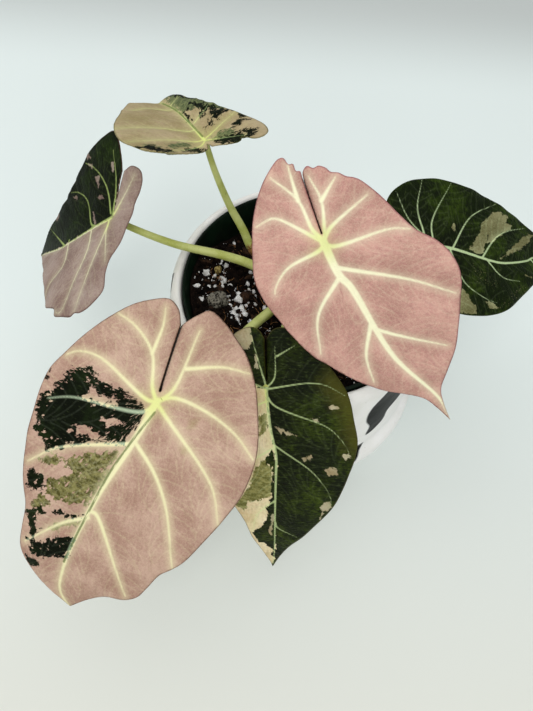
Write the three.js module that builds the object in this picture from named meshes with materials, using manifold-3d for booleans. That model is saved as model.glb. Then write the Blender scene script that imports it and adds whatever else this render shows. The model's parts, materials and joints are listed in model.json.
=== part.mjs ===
// A small potted velvet-leaved alocasia with cream and pink variegated leaves.
// The plant stands in a thin green nursery pot, and that pot stands in a white glazed cover pot.
// Millimetres, +Z up, origin at the centre of the cover pot's foot, the front of the plant towards -Y.
import * as THREE from "three";
import { mergeVertices } from "three/addons/utils/BufferGeometryUtils.js";
import Module from "manifold-3d";

const wasm = await Module();
wasm.setup();

// The space kept between pieces that touch on the real object.
const SEAT_GAP = 0.3;
const ROUND_SEGMENTS = 48;

// Cover pot: a thick glazed wall with a rounded rim, standing on a rolled foot that spreads beyond it.
const COVER_FLOOR = 5;
const COVER_FOOT_RADIUS = 64;
const COVER_WALL_RADIUS = 59.4;
const COVER_RIM_RADIUS = 57.4;
const COVER_BORE_RADIUS = 53.6;
const COVER_MOUTH_RADIUS = 52.6;
const COVER_TOP = 77.5;

// Nursery pot: a 4 inch azalea pot, 104 mm across its rim.
const NURSERY_RIM_RADIUS = 52;
const NURSERY_RIM_TOP = 78;
const NURSERY_LIP_HEIGHT = 3.2;
const NURSERY_LIP_WIDTH = 1.4;
const NURSERY_FOOT_RADIUS = 41;
const NURSERY_WALL = 1.3;
const NURSERY_BOTTOM = COVER_FLOOR + SEAT_GAP;
const DRAIN_HOLES = 8;
const DRAIN_RADIUS = 3.5;
const DRAIN_CIRCLE = 27;

// Soil, with its surface about 14 mm below the nursery pot's rim, banked up against the wall on one side.
const SOIL_TOP = 64;
const SOIL_SWELL = 1.4;
const SOIL_BANK = 7;
const SOIL_BANK_DEGREES = 202;
const SOIL_BANK_FROM = 20;
const SOIL_BANK_TO = 44;
const PERLITE_GRAINS = 34;
const PERLITE_SMALLEST = 1.3;
const PERLITE_LARGEST = 3;
const PERLITE_SUNK = 0.45;

// The short corm at the soil line. The leaf stalks stand on its shoulder.
const CROWN_CENTRE = new THREE.Vector2(-3, 4);
const CROWN_RADIUS = 9.2;
const CROWN_BOTTOM = 55;
const CROWN_SHOULDER = 66;
const STALK_CIRCLE = 6.2;

// Leaf blades and their stalks.
const BLADE_THICKNESS = 0.8;
const BLADE_RINGS = [0.25, 0.5, 0.7, 0.86, 1];
const BLADE_SIDE_STEPS = 21;
const STALK_BASE_RADIUS = 2.3;
const STALK_SIDES = 8;
const STALK_STEPS = 14;
const STALK_END_GAP = 0.75;

// Every leaf: the place of its hub, where the stalk meets the blade, and of its tip; how far the blade
// is rolled about the line between them; how high the midrib arches (bow); the slope and the curl of
// its two halves, left then right, seen from the hub with the upper face on top. lift turns the back
// lobes up, and droop turns the blade down past the given distance from the hub.
// The outline of each half runs from the inner end of the notch to the corner of the back lobe, and on
// round the lobe to the tip, in mm from the hub.
// route holds the points that the stalk passes on its way up from the crown at angle "from".
const LEAVES = [
  {
    name: "front_left",
    hub: [-49.9, -68.6, 100],
    tip: [-78.8, -131, 52],
    roll: 8,
    bow: 8,
    slope: [0, 0],
    curl: [-3, -3],
    left: [
      [2, -9.5], [4.4, -25.4], [2, -30.5], [-1, -33.5], [-8, -32], [-15, -28.5], [-21, -24.5],
      [-28.5, -16.5], [-34.5, -6.5], [-38, 1], [-39.5, 8], [-39.5, 18], [-37.5, 26.5], [-34.5, 36],
      [-31.5, 45], [-28.5, 50], [-25.5, 54], [-23.5, 60], [-21.5, 65.5], [-18, 69], [-11, 72],
      [-5, 77.5], [0, 84],
    ],
    right: [
      [2, -9.5], [5.7, -25.4], [9, -29.5], [14, -31.5], [20, -28.5], [25.5, -24], [30.5, -16.5],
      [36, -5], [39.5, 5], [39.5, 12], [38.5, 18], [36, 31], [32, 42], [27.5, 52], [26, 60],
      [24.5, 68], [22, 72], [15, 77.5], [8.5, 81], [3, 82.8], [0, 84],
    ],
    stalk: {
      from: 232,
      route: [[-12.8, -12.5, 75], [-22.8, -27.5, 80.4], [-33.5, -44, 82], [-44.5, -60.5, 90.5]],
      tipRadius: 1.5,
    },
  },
  {
    name: "upper_right",
    hub: [1.9, -25, 137],
    tip: [55.3, -62, 86],
    roll: -52,
    bow: 4,
    slope: [0.05, 0.05],
    curl: [-3, -3],
    left: [
      [-2.2, -8.6], [-5.4, -19], [-8.5, -21.5], [-13.5, -17.8], [-16.8, -13], [-20, -9.5],
      [-22.5, -3], [-24.5, 5], [-26.5, 12], [-30, 18], [-31.5, 24], [-30.8, 31], [-26.5, 39],
      [-21.5, 47], [-16.5, 54.5], [-10, 61], [-4.5, 67], [-2, 74], [0, 82.5],
    ],
    right: [
      [-2.2, -8.6], [-4.6, -19], [-5, -23], [-3.6, -27], [-1, -28.2], [4, -27], [8.5, -24.5],
      [12.5, -21.5], [18, -16], [23, -9], [27.5, -2], [28.8, 5], [28.8, 13], [28, 21], [26, 32],
      [23, 39], [20, 45], [14, 55.5], [7, 62.5], [2.5, 68], [1, 74], [0, 82.5],
    ],
    stalk: {
      from: null,
      route: [[-2.6, 2.5, 78], [-1.4, -2, 94], [0, -10, 113], [1.2, -19, 129]],
      tipRadius: 1.5,
    },
  },
  {
    name: "front",
    hub: [-13, -53.8, 84],
    tip: [-5, -108, 22],
    roll: -20,
    bow: 6,
    slope: [0.1, 0.1],
    curl: [-6, -6],
    left: [
      [0.7, -8.5], [1.1, -18], [-1, -21], [-5, -22.2], [-9.5, -20.8], [-14.5, -18], [-19, -14],
      [-25, -8], [-30, -1.5], [-32, 3.5], [-33.3, 9], [-35, 17], [-34.5, 23], [-32, 31.5],
      [-28.5, 41], [-25, 47.5], [-21, 53], [-15, 60.5], [-8.5, 68], [-4, 75], [0, 83],
    ],
    right: [
      [0.7, -8.5], [1.9, -18], [4.5, -21], [8.5, -21.8], [13.5, -19.3], [16.5, -15], [18.5, -9.5],
      [20.3, -2.5], [21.5, 6], [21.8, 16], [21, 27], [19, 36.5], [16, 45], [12.5, 51.5], [9.5, 57.5],
      [7, 66], [4.5, 71], [2.2, 76], [0.6, 80], [0, 83],
    ],
    stalk: {
      from: 285,
      route: [[-3, -8, 73.5], [-6.2, -21.5, 79.5], [-10, -38, 82]],
      tipRadius: 1.5,
    },
  },
  {
    name: "right",
    hub: [50.1, 6.4, 100],
    tip: [117, 22.7, 76],
    roll: -12,
    bow: 4,
    slope: [0.1, 0.1],
    curl: [-4, -4],
    left: [
      [-2.2, -6.6], [-5.5, -15], [-9, -17], [-14, -16.6], [-20, -16.6], [-24.5, -14], [-28, -9.5],
      [-30.3, -4], [-31.5, 4], [-31, 10], [-28.8, 18], [-25, 27.5], [-20, 37.5], [-14, 47.5],
      [-8, 57], [-3, 65.5], [0, 73],
    ],
    right: [
      [-2.2, -6.6], [-4.2, -15], [-1.5, -17], [3, -17.3], [9.5, -17], [16.5, -15.5], [22.5, -10],
      [26.5, -3], [29, 4.5], [30, 12.5], [29.5, 19.5], [27.5, 26.5], [22, 35], [15.5, 44],
      [10.5, 51.5], [6.5, 58.5], [2.5, 66], [0, 73],
    ],
    stalk: {
      from: 0,
      route: [[7.5, 4.2, 75], [18, 4.6, 84], [32, 5.4, 92], [43, 6, 97]],
      tipRadius: 1.3,
    },
  },
  {
    name: "back",
    hub: [-42.5, 26, 128],
    tip: [-70.7, 71.1, 108],
    roll: 18,
    bow: 3,
    slope: [0.8, -0.1],
    curl: [0, -3],
    lift: 0.025,
    droop: { from: 44, by: 0.035 },
    left: [
      [-0.4, -3], [-1.3, -6], [-5, -9], [-10, -11], [-15, -11.3], [-19.7, -9.3], [-23, -5.5],
      [-25.4, 0], [-25.6, 5], [-24.6, 11], [-22, 19], [-18.7, 27], [-16, 35], [-13, 43],
      [-10, 51], [-6.5, 59], [-3, 65.5], [0, 71],
    ],
    right: [
      [-0.4, -3], [0.3, -6], [4, -10.5], [9, -13.5], [14.5, -14.5], [18.8, -12], [21.2, -7],
      [21.6, -2.5], [20, 3], [16.8, 12], [13.8, 22], [11, 32], [8.8, 42], [6.5, 51],
      [3.4, 61], [0, 71],
    ],
    stalk: {
      from: 130,
      route: [[-14.5, 10.7, 72.5], [-23, 14, 80], [-27.8, 18, 89], [-33.2, 21, 99], [-39, 24.2, 114.5]],
      tipRadius: 1.1,
    },
  },
  {
    name: "left",
    hub: [-79.2, 8, 102],
    tip: [-127.4, 25, 50],
    roll: 26,
    bow: 4,
    slope: [0.3, 0.3],
    curl: [-3, -3],
    left: [
      [7, -3.4], [16.6, -9], [17.8, -13], [15.3, -17], [11.5, -17.4], [7.5, -15.8], [2.5, -12],
      [-5, -11], [-11.5, -10.8], [-17.5, -8.2], [-25, -8.2], [-33, -10], [-38.5, -5.5],
      [-41, -0.5], [-41.6, 6], [-40, 17], [-37.5, 22.5], [-35, 28], [-26, 35.5], [-21, 41],
      [-16, 47], [-10, 54.5], [-4.5, 63], [0, 73],
    ],
    right: [
      [7, -3.4], [16.5, -7.6], [21, -8.2], [27.5, -7], [32, -4], [32.3, 1], [31, 7], [28, 12.5],
      [23, 19], [17.5, 26.5], [14, 33.5], [10.5, 41], [8.5, 50], [6, 58], [3, 66], [0, 73],
    ],
    stalk: {
      from: 180,
      route: [[-13.5, 4.4, 74.5], [-23.6, 5.1, 82], [-35.2, 5.7, 86], [-55.1, 6.8, 89.8], [-72.4, 7.7, 97.5]],
      tipRadius: 1.3,
    },
  },
];

// Solids and geometries.

function toSolid(geometry) {
  const bare = geometry.clone();
  bare.deleteAttribute("normal");
  bare.deleteAttribute("uv");
  const merged = mergeVertices(bare, 1e-4);
  const mesh = new wasm.Mesh({
    numProp: 3,
    vertProperties: new Float32Array(merged.getAttribute("position").array),
    triVerts: new Uint32Array(merged.index.array),
  });
  return new wasm.Manifold(mesh);
}

function toGeometry(solid) {
  const mesh = solid.getMesh();
  const geometry = new THREE.BufferGeometry();
  geometry.setAttribute("position", new THREE.BufferAttribute(mesh.vertProperties, 3));
  geometry.setIndex(new THREE.BufferAttribute(mesh.triVerts, 1));
  return geometry.toNonIndexed();
}

// Turns a profile of [radius, height] points about the Z axis. The profile runs anticlockwise.
function turned(profile, segments = ROUND_SEGMENTS) {
  const points = profile.map(([radius, height]) => new THREE.Vector2(radius, height));
  return new THREE.LatheGeometry(points, segments).rotateX(Math.PI / 2);
}

function finish(geometry) {
  geometry.computeVertexNormals();
  return geometry;
}

// Repeatable random numbers between 0 and 1.
function seeded(seed) {
  let state = seed;
  return () => {
    state = (Math.imul(state, 1664525) + 1013904223) >>> 0;
    return state / 4294967296;
  };
}

// Pots.

function coverPot() {
  const foot = COVER_FOOT_RADIUS;
  const wall = COVER_WALL_RADIUS;
  const rim = COVER_RIM_RADIUS;
  const bore = COVER_BORE_RADIUS;
  const mouth = COVER_MOUTH_RADIUS;
  const top = COVER_TOP;
  return turned([
    [0, 0],
    [foot - 5, 0],
    [foot - 1.8, 0.9],
    [foot - 0.3, 2.8],
    [foot, 5],
    [foot - 0.5, 7.6],
    [foot - 1.9, 9.8],
    [foot - 3.7, 11.4],
    [wall, 14],
    [wall + 0.1, 20],
    [wall - 0.1, 30],
    [wall - 0.8, 45],
    [rim + 0.3, 60],
    [rim, 72],
    [rim - 0.4, 74.6],
    [rim - 1.4, top - 1],
    [rim - 2.9, top],
    [mouth + 0.9, top - 0.2],
    [mouth, top - 1.6],
    [mouth, 68],
    [bore, 45],
    [bore, 16],
    [bore - 1.6, COVER_FLOOR + 4],
    [bore - 6, COVER_FLOOR],
    [0, COVER_FLOOR],
  ]);
}

// Half the nursery pot's outside width at a height below its lip.
function nurseryOutside(z) {
  const lipBottom = NURSERY_RIM_TOP - NURSERY_LIP_HEIGHT;
  const share = (z - NURSERY_BOTTOM) / (lipBottom - NURSERY_BOTTOM);
  return NURSERY_FOOT_RADIUS + share * (NURSERY_RIM_RADIUS - NURSERY_LIP_WIDTH - NURSERY_FOOT_RADIUS);
}

function nurseryPot() {
  const bottom = NURSERY_BOTTOM;
  const floor = bottom + NURSERY_WALL;
  const lipBottom = NURSERY_RIM_TOP - NURSERY_LIP_HEIGHT;
  const rim = NURSERY_RIM_RADIUS;
  const shell = turned([
    [0, bottom],
    [NURSERY_FOOT_RADIUS - 1, bottom],
    [nurseryOutside(bottom + 1.5), bottom + 1.5],
    [nurseryOutside(lipBottom), lipBottom],
    [rim - 0.4, lipBottom],
    [rim, lipBottom + 0.6],
    [rim, NURSERY_RIM_TOP - 0.6],
    [rim - 0.4, NURSERY_RIM_TOP],
    [rim - 0.9, NURSERY_RIM_TOP],
    [rim - 1.3, NURSERY_RIM_TOP - 0.6],
    [nurseryOutside(lipBottom) - NURSERY_WALL, lipBottom - 1.5],
    [nurseryOutside(floor) - NURSERY_WALL, floor],
    [0, floor],
  ]);
  let solid = toSolid(shell);
  for (let i = 0; i < DRAIN_HOLES; i++) {
    const angle = (i / DRAIN_HOLES) * 2 * Math.PI;
    const hole = new THREE.CylinderGeometry(DRAIN_RADIUS, DRAIN_RADIUS, 4 * NURSERY_WALL, 12);
    hole.rotateX(Math.PI / 2);
    hole.translate(DRAIN_CIRCLE * Math.cos(angle), DRAIN_CIRCLE * Math.sin(angle), bottom + NURSERY_WALL / 2);
    solid = solid.subtract(toSolid(hole));
  }
  return toGeometry(solid);
}

// Soil and crown.

function soilHeight(x, y) {
  const swell = Math.sin(x / 9 + 1) * Math.cos(y / 11 - 0.4) + 0.5 * Math.sin(x / 4.3 - y / 5.1);
  const out = Math.hypot(x, y);
  const towards = Math.cos(Math.atan2(y, x) - THREE.MathUtils.degToRad(SOIL_BANK_DEGREES));
  const { smoothstep } = THREE.MathUtils;
  const bank = smoothstep(towards, 0.4, 0.8) * smoothstep(out, SOIL_BANK_FROM, SOIL_BANK_TO);
  return SOIL_TOP + (SOIL_SWELL * swell) / 1.5 + SOIL_BANK * bank;
}

function soilBody() {
  const floor = NURSERY_BOTTOM + NURSERY_WALL + SEAT_GAP;
  const edge = (z) => nurseryOutside(z) - NURSERY_WALL - SEAT_GAP;
  const rings = [1, 0.84, 0.68, 0.52, 0.36, 0.2];
  const profile = [
    [0, floor],
    [edge(floor), floor],
    [edge(SOIL_TOP / 2), SOIL_TOP / 2],
    ...rings.map((share) => [share * (edge(SOIL_TOP) - 0.4), SOIL_TOP]),
    [0, SOIL_TOP],
  ];
  const body = turned(profile);
  const place = body.getAttribute("position");
  for (let i = 0; i < place.count; i++) {
    if (Math.abs(place.getZ(i) - SOIL_TOP) < 0.01) {
      place.setZ(i, soilHeight(place.getX(i), place.getY(i)));
    }
  }
  return toSolid(body);
}

// White grains of expanded rock, each sunk into the soil by part of its own radius.
function perliteGrains() {
  const random = seeded(20);
  const reach = nurseryOutside(SOIL_TOP) - NURSERY_WALL - PERLITE_LARGEST - 1.5;
  const grains = [];
  while (grains.length < PERLITE_GRAINS) {
    const angle = 2 * Math.PI * random();
    const distance = reach * Math.sqrt(random());
    const size = PERLITE_SMALLEST + (PERLITE_LARGEST - PERLITE_SMALLEST) * random() ** 2;
    const turn = Math.PI * random();
    const x = distance * Math.cos(angle);
    const y = distance * Math.sin(angle);
    if (Math.hypot(x - CROWN_CENTRE.x, y - CROWN_CENTRE.y) < CROWN_RADIUS + 2 * PERLITE_LARGEST) continue;
    const grain = new THREE.IcosahedronGeometry(size, 0);
    grain.scale(1.1, 0.9, 0.85).rotateX(turn).rotateZ(2 * turn);
    grain.translate(x, y, soilHeight(x, y) + size * (0.85 - 2 * PERLITE_SUNK));
    grains.push(toSolid(grain));
  }
  return grains;
}

function soil() {
  let solid = soilBody();
  perliteGrains().forEach((grain) => {
    solid = solid.add(grain);
  });
  const depth = SOIL_TOP + 4 - CROWN_BOTTOM;
  const radius = CROWN_RADIUS + SEAT_GAP + 0.1;
  const hole = new THREE.CylinderGeometry(radius, radius, depth, 32).rotateX(Math.PI / 2);
  hole.translate(CROWN_CENTRE.x, CROWN_CENTRE.y, CROWN_BOTTOM + depth / 2);
  return toGeometry(solid.subtract(toSolid(hole)));
}

function crown() {
  const radius = CROWN_RADIUS;
  const bottom = CROWN_BOTTOM + SEAT_GAP;
  const profile = [
    [0, bottom],
    [radius - 2.2, bottom],
    [radius - 0.4, bottom + 3],
    [radius, CROWN_SHOULDER - 4],
    [radius - 0.3, CROWN_SHOULDER - 0.8],
    [radius - 0.9, CROWN_SHOULDER],
    [0, CROWN_SHOULDER],
  ];
  return turned(profile, 28).translate(CROWN_CENTRE.x, CROWN_CENTRE.y, 0);
}

// Leaves.

// The frame of a blade: its origin at the hub, y towards the tip, z out of the upper face.
class BladeFrame {
  constructor(leaf) {
    this.leaf = leaf;
    this.hub = new THREE.Vector3(...leaf.hub);
    const reach = new THREE.Vector3(...leaf.tip).sub(this.hub);
    this.length = reach.length();
    this.alongY = reach.normalize();
    const level = new THREE.Vector3().crossVectors(this.alongY, new THREE.Vector3(0, 0, 1)).normalize();
    const upward = new THREE.Vector3().crossVectors(level, this.alongY);
    const roll = THREE.MathUtils.degToRad(leaf.roll);
    this.alongX = level.clone().multiplyScalar(Math.cos(roll)).addScaledVector(upward, Math.sin(roll));
    this.alongZ = upward.multiplyScalar(Math.cos(roll)).addScaledVector(level, -Math.sin(roll));
  }

  // Height of the blade's middle surface over the plane of the frame.
  height(x, y) {
    const { bow, slope, curl, lift = 0, droop } = this.leaf;
    const side = x < 0 ? 0 : 1;
    const share = y / this.length;
    let z = 4 * bow * share * (1 - share);
    z += slope[side] * (Math.sqrt(x * x + 9) - 3);
    z += curl[side] * (x / 40) ** 2;
    if (y < 0) z += lift * y * y;
    if (droop && y > droop.from) z -= droop.by * (y - droop.from) ** 2;
    return z;
  }

  place(x, y, z) {
    return this.hub
      .clone()
      .addScaledVector(this.alongX, x)
      .addScaledVector(this.alongY, y)
      .addScaledVector(this.alongZ, z);
  }

  // A point of the upper face (above = half the thickness) or of the lower face.
  surface(x, y, above) {
    const step = 0.05;
    const slopeX = (this.height(x + step, y) - this.height(x - step, y)) / (2 * step);
    const slopeY = (this.height(x, y + step) - this.height(x, y - step)) / (2 * step);
    const away = above / Math.hypot(slopeX, slopeY, 1);
    return this.place(x - slopeX * away, y - slopeY * away, this.height(x, y) + away);
  }
}

// Half an outline: straight along the notch to the corner of the back lobe, then evenly spaced points
// of a smooth curve on to the tip.
function halfOutline(points) {
  const [notch, ...lobe] = points.map(([x, y]) => new THREE.Vector3(x, y, 0));
  return [notch, ...new THREE.CatmullRomCurve3(lobe).getSpacedPoints(BLADE_SIDE_STEPS)];
}

// A blade is a disc of triangles about the hub, alike on both faces, with a thin wall around it.
function blade(leaf) {
  const frame = new BladeFrame(leaf);
  const right = halfOutline(leaf.right);
  const left = halfOutline(leaf.left).reverse();
  const outline = [...right, ...left.slice(1, -1)];
  const around = outline.length;
  const half = BLADE_THICKNESS / 2;
  const corners = [];
  [half, -half].forEach((above) => {
    corners.push(frame.surface(0, 0, above));
    BLADE_RINGS.forEach((share) => {
      outline.forEach((point) => corners.push(frame.surface(share * point.x, share * point.y, above)));
    });
  });
  const faceCorners = 1 + BLADE_RINGS.length * around;
  const index = [];
  const both = (a, b, c) => {
    index.push(a, b, c);
    index.push(a + faceCorners, c + faceCorners, b + faceCorners);
  };
  for (let i = 0; i < around; i++) {
    const next = (i + 1) % around;
    both(0, 1 + i, 1 + next);
    for (let ring = 1; ring < BLADE_RINGS.length; ring++) {
      const inner = 1 + (ring - 1) * around;
      const outer = inner + around;
      both(inner + i, outer + i, outer + next);
      both(inner + i, outer + next, inner + next);
    }
    const upper = faceCorners - around;
    const lower = upper + faceCorners;
    index.push(upper + i, lower + i, lower + next);
    index.push(upper + i, lower + next, upper + next);
  }
  const geometry = new THREE.BufferGeometry().setFromPoints(corners);
  geometry.setIndex(index);
  return geometry.toNonIndexed();
}

// A round stalk that tapers from the crown to just below the hub of its blade.
function stalk(leaf) {
  const { from, route, tipRadius } = leaf.stalk;
  const frame = new BladeFrame(leaf);
  const circle = from === null ? 0 : STALK_CIRCLE;
  const angle = THREE.MathUtils.degToRad(from ?? 0);
  const start = new THREE.Vector3(
    CROWN_CENTRE.x + circle * Math.cos(angle),
    CROWN_CENTRE.y + circle * Math.sin(angle),
    CROWN_SHOULDER + SEAT_GAP,
  );
  // The flat end of the stalk is tilted to the blade, so its edge decides how near the end may come.
  const arrival = frame.hub.clone().sub(new THREE.Vector3(...route.at(-1))).normalize();
  const rise = tipRadius * Math.sqrt(1 - arrival.dot(frame.alongZ) ** 2);
  const end = frame.surface(0, 0, -BLADE_THICKNESS / 2 - STALK_END_GAP - rise);
  const curve = new THREE.CatmullRomCurve3([
    start,
    start.clone().add(new THREE.Vector3(0, 0, 2.5)),
    ...route.map((point) => new THREE.Vector3(...point)),
    end,
  ]);
  const frames = curve.computeFrenetFrames(STALK_STEPS, false);
  const corners = [start];
  for (let step = 0; step <= STALK_STEPS; step++) {
    const share = step / STALK_STEPS;
    const centre = curve.getPointAt(share);
    const radius = THREE.MathUtils.lerp(STALK_BASE_RADIUS, tipRadius, share);
    for (let side = 0; side < STALK_SIDES; side++) {
      const turn = (side / STALK_SIDES) * 2 * Math.PI;
      corners.push(
        centre
          .clone()
          .addScaledVector(frames.normals[step], radius * Math.cos(turn))
          .addScaledVector(frames.binormals[step], radius * Math.sin(turn)),
      );
    }
  }
  corners.push(end);
  const last = corners.length - 1;
  const index = [];
  for (let side = 0; side < STALK_SIDES; side++) {
    const next = (side + 1) % STALK_SIDES;
    index.push(0, 1 + next, 1 + side);
    for (let step = 0; step < STALK_STEPS; step++) {
      const low = 1 + step * STALK_SIDES;
      const high = low + STALK_SIDES;
      index.push(low + side, low + next, high + next);
      index.push(low + side, high + next, high + side);
    }
    index.push(last, last - STALK_SIDES + side, last - STALK_SIDES + next);
  }
  const geometry = new THREE.BufferGeometry().setFromPoints(corners);
  geometry.setIndex(index);
  return geometry.toNonIndexed();
}

// The materials, and the group of named pieces.

const glazed = new THREE.MeshStandardMaterial({ color: 0xece9e2, roughness: 0.25 });
const greenPlastic = new THREE.MeshStandardMaterial({ color: 0x2c5a3a, roughness: 0.5 });
const earth = new THREE.MeshStandardMaterial({ color: 0x2a211b, roughness: 1 });
const corm = new THREE.MeshStandardMaterial({ color: 0x6b4c33, roughness: 0.9 });
const stalkGreen = new THREE.MeshStandardMaterial({ color: 0xb3b85f, roughness: 0.5 });
const bladeColours = {
  front_left: 0xb58a76,
  upper_right: 0xc98f88,
  front: 0x5a6b45,
  right: 0x36452f,
  back: 0x8f8560,
  left: 0x4c5a45,
};

const plant = new THREE.Group();

function add(name, geometry, material) {
  const mesh = new THREE.Mesh(finish(geometry), material);
  mesh.name = name;
  plant.add(mesh);
}

add("cover_pot", coverPot(), glazed);
add("nursery_pot", nurseryPot(), greenPlastic);
add("soil", soil(), earth);
add("crown", crown(), corm);
LEAVES.forEach((leaf) => {
  const velvet = new THREE.MeshStandardMaterial({ color: bladeColours[leaf.name], roughness: 0.7 });
  add("stalk_" + leaf.name, stalk(leaf), stalkGreen);
  add("blade_" + leaf.name, blade(leaf), velvet);
});

export default plant;
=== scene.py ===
"""A potted black velvet alocasia with cream and pink variegated leaves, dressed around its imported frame.

Lengths are millimetres in the frame's own axes until a mesh is written, which is in metres.
"""

import json
import math

import bmesh
import bpy
import numpy as np
from mathutils import Matrix, Vector, noise
from mathutils.geometry import delaunay_2d_cdt


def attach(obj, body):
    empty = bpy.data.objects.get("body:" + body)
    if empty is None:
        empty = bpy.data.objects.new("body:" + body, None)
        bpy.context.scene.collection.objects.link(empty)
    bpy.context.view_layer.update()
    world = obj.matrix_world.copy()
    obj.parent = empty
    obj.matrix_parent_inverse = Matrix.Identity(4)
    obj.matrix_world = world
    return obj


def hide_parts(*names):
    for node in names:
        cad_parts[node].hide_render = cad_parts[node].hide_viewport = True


MM = 0.001
UP = np.array([0.0, 0.0, 1.0])
FAR = 1e9

# Colours and forms are made from distances in mm, which are cut off here.
FIELD_CAP = 9.0

# The photograph's camera.
CAMERA_PLACE = (-13.854, -147.075, 287.397)
CAMERA_LENS_MM = 30.0
CAMERA_SENSOR_MM = 36.0
CAMERA_DOWN_DEG = 62.129
CAMERA_ROLL_DEG = 4.0

# The pale floor gives some light of its own, as a lit studio sweep does. The sky is brighter overhead.
FLOOR_SIZE_M = 6
FLOOR_GLOW = 0.2
SKY_STRENGTHS = (0.3, 0.57)
SKY_COLOUR = (0.95, 0.98, 1.0, 1)

# Soft round lamps: place, what it points at, width, power in watts and colour.
LAMPS = {
    "softbox_top": ((-200, 450, 1250), (0, 0, 60), 1600, 5.3, (1.0, 0.99, 0.97)),
    "softbox_front": ((-80, -480, 1000), (0, -20, 60), 500, 3.3, (1.0, 0.98, 0.96)),
    "softbox_left": ((-1300, 300, 600), (0, 0, 50), 800, 3.2, (1.0, 1.0, 1.0)),
    "window": ((250, -900, 500), (0, -60, 60), 250, 1.2, (1.0, 0.99, 0.97)),
}

# How finely the leaves are meshed, and the form of a blade.
LEAF_SPACING = 0.6
BLADE_HALF_THICKNESS = 0.3
ROUNDED_EDGE = 0.5
FOLD_ROUNDING = 3
CURL_REACH = 40
PUFF_HEIGHT = 0.75
PUFF_REACH = 3.6
PUFF_MARGIN = 5.0
RIPPLE = 0.2
RIPPLE_REACH = 7.0
RIPPLE_WAVES = ((1, 9), (0.7, 14), (0.4, 23))
GROOVE_DEPTH = 0.1
GROOVE_WIDTH = 0.45
SLIT_DROP = 0.8
SLIT_REACH = 0.9
TUCK_DROP = 0.95
TUCK_SLIDE = 0.45
TUCK_REACH = 1.3
RIB_DEPTH = 1.1
RIB_EDGES = (-1.2, 0.9)

# Veins: half widths at their start and end, and how the side veins grow.
MIDRIB_HALF_WIDTHS = (1.15, 0.3)
VEIN_HALF_WIDTHS = (0.62, 0.12)
VEIN_SPACING = 1.5
SIDE_VEIN_SPACING = 4.2
SIDE_VEIN_GAP = 0.9
SIDE_VEIN_STEP = 0.9
SIDE_VEIN_ANGLE_DEG = 62.0
SIDE_VEIN_BEND_DEG = 3.0
SIDE_VEIN_STEPS = 22

# The underside's patterns are read this far away from the upper side's. flow is a place on the leaf as the
# angle round the hub and the distance from it, which makes patterns that run out from the hub.
UNDERSIDE_SHIFT = 40.0
FLOW_TURN = 24
FLOW_REACH = 0.28

# Stalks. A brown husk reaches this far up from the crown, and a stalk flares where it meets its blade.
STALK_BASE_RADIUS = 2.3
STALK_SIDES = 20
STALK_SPACING = 0.9
STALK_CIRCLE = 6.2
STALK_HUSK = 4
STALK_FLARE = 0.35
STALK_FLARE_REACH = 1.6
STALK_RIDGES = 5
STALK_RIDGE_DEPTH = 0.03

# Crown and soil. The last value of a place is how widely the grains lie round it.
CROWN_CENTRE = (-3.0, 4.0)
CROWN_RADIUS = 9.2
CROWN_SHOULDER = 66.0
CROWN_BOTTOM = 55.3
SOIL_TOP = 64.0
SOIL_SWELL = 1.4
SOIL_ROUGHNESS = 1.1
SOIL_BANK = 8.5
SOIL_BANK_DEGREES = 202.0
SOIL_BANK_FROM = 20.0
SOIL_BANK_TO = 44.0
LUMP_PLACE = (-36.0, -8.0, 0)
YELLOW_GRAIN_PLACE = (-37.0, 7.6, 0)
CLUSTER_PLACE = (-29, -2, 9)
FIBRE_STEPS = 8
FIBRE_STEP = 0.75
FIBRE_BEND = 0.35
FIBRE_HEIGHTS = (0.2, 1.1)
FIBRE_RADII = (0.06, 0.16)

# Pots.
COVER_FLOOR = 5.0
COVER_FOOT_RADIUS = 64.0
COVER_WALL_RADIUS = 59.4
COVER_RIM_RADIUS = 57.4
COVER_BORE_RADIUS = 53.6
COVER_MOUTH_RADIUS = 52.6
COVER_TOP = 77.5
NURSERY_RIM_RADIUS = 52.0
NURSERY_RIM_TOP = 78.0
NURSERY_LIP_HEIGHT = 3.2
NURSERY_LIP_WIDTH = 1.4
NURSERY_FOOT_RADIUS = 41.0
NURSERY_WALL = 1.3
NURSERY_BOTTOM = 5.3

# The glazed patches stand out of the glaze along their edges, and none reaches further than this.
PATCH_RAISE = 0.12
PATCH_EDGE = 0.9
PATCH_REACH = 30

# Where they are: round the pot (degrees), height, size, turn, and which of the outlines one uses.
PATCHES = [
    (-52, 50, 1.15, 325, 0), (-8, 34, 1.0, 70, 1), (28, 58, 0.9, 200, 2), (66, 30, 1.1, 20, 0),
    (104, 60, 0.9, 140, 1), (140, 34, 1.0, 260, 2), (178, 56, 1.05, 330, 0), (-150, 30, 0.9, 110, 1),
    (-112, 58, 0.95, 40, 2), (-84, 24, 0.75, 300, 0), (-60, 14, 0.5, 160, 2),
]
PATCH_OUTLINES = [
    [(-9, 17), (-8, 4), (-3, -4), (4, -9), (9, -16), (12, -8), (8, 0), (12, 8), (8, 16), (0, 20)],
    [(-13, 4), (-6, 8), (3, 6), (11, 9), (15, 2), (9, -4), (3, -8), (-4, -5), (-12, -7), (-16, -1)],
    [(-6, 12), (3, 13), (9, 7), (8, -2), (12, -9), (5, -13), (-3, -9), (-10, -11), (-12, -3), (-9, 5)],
]

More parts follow.
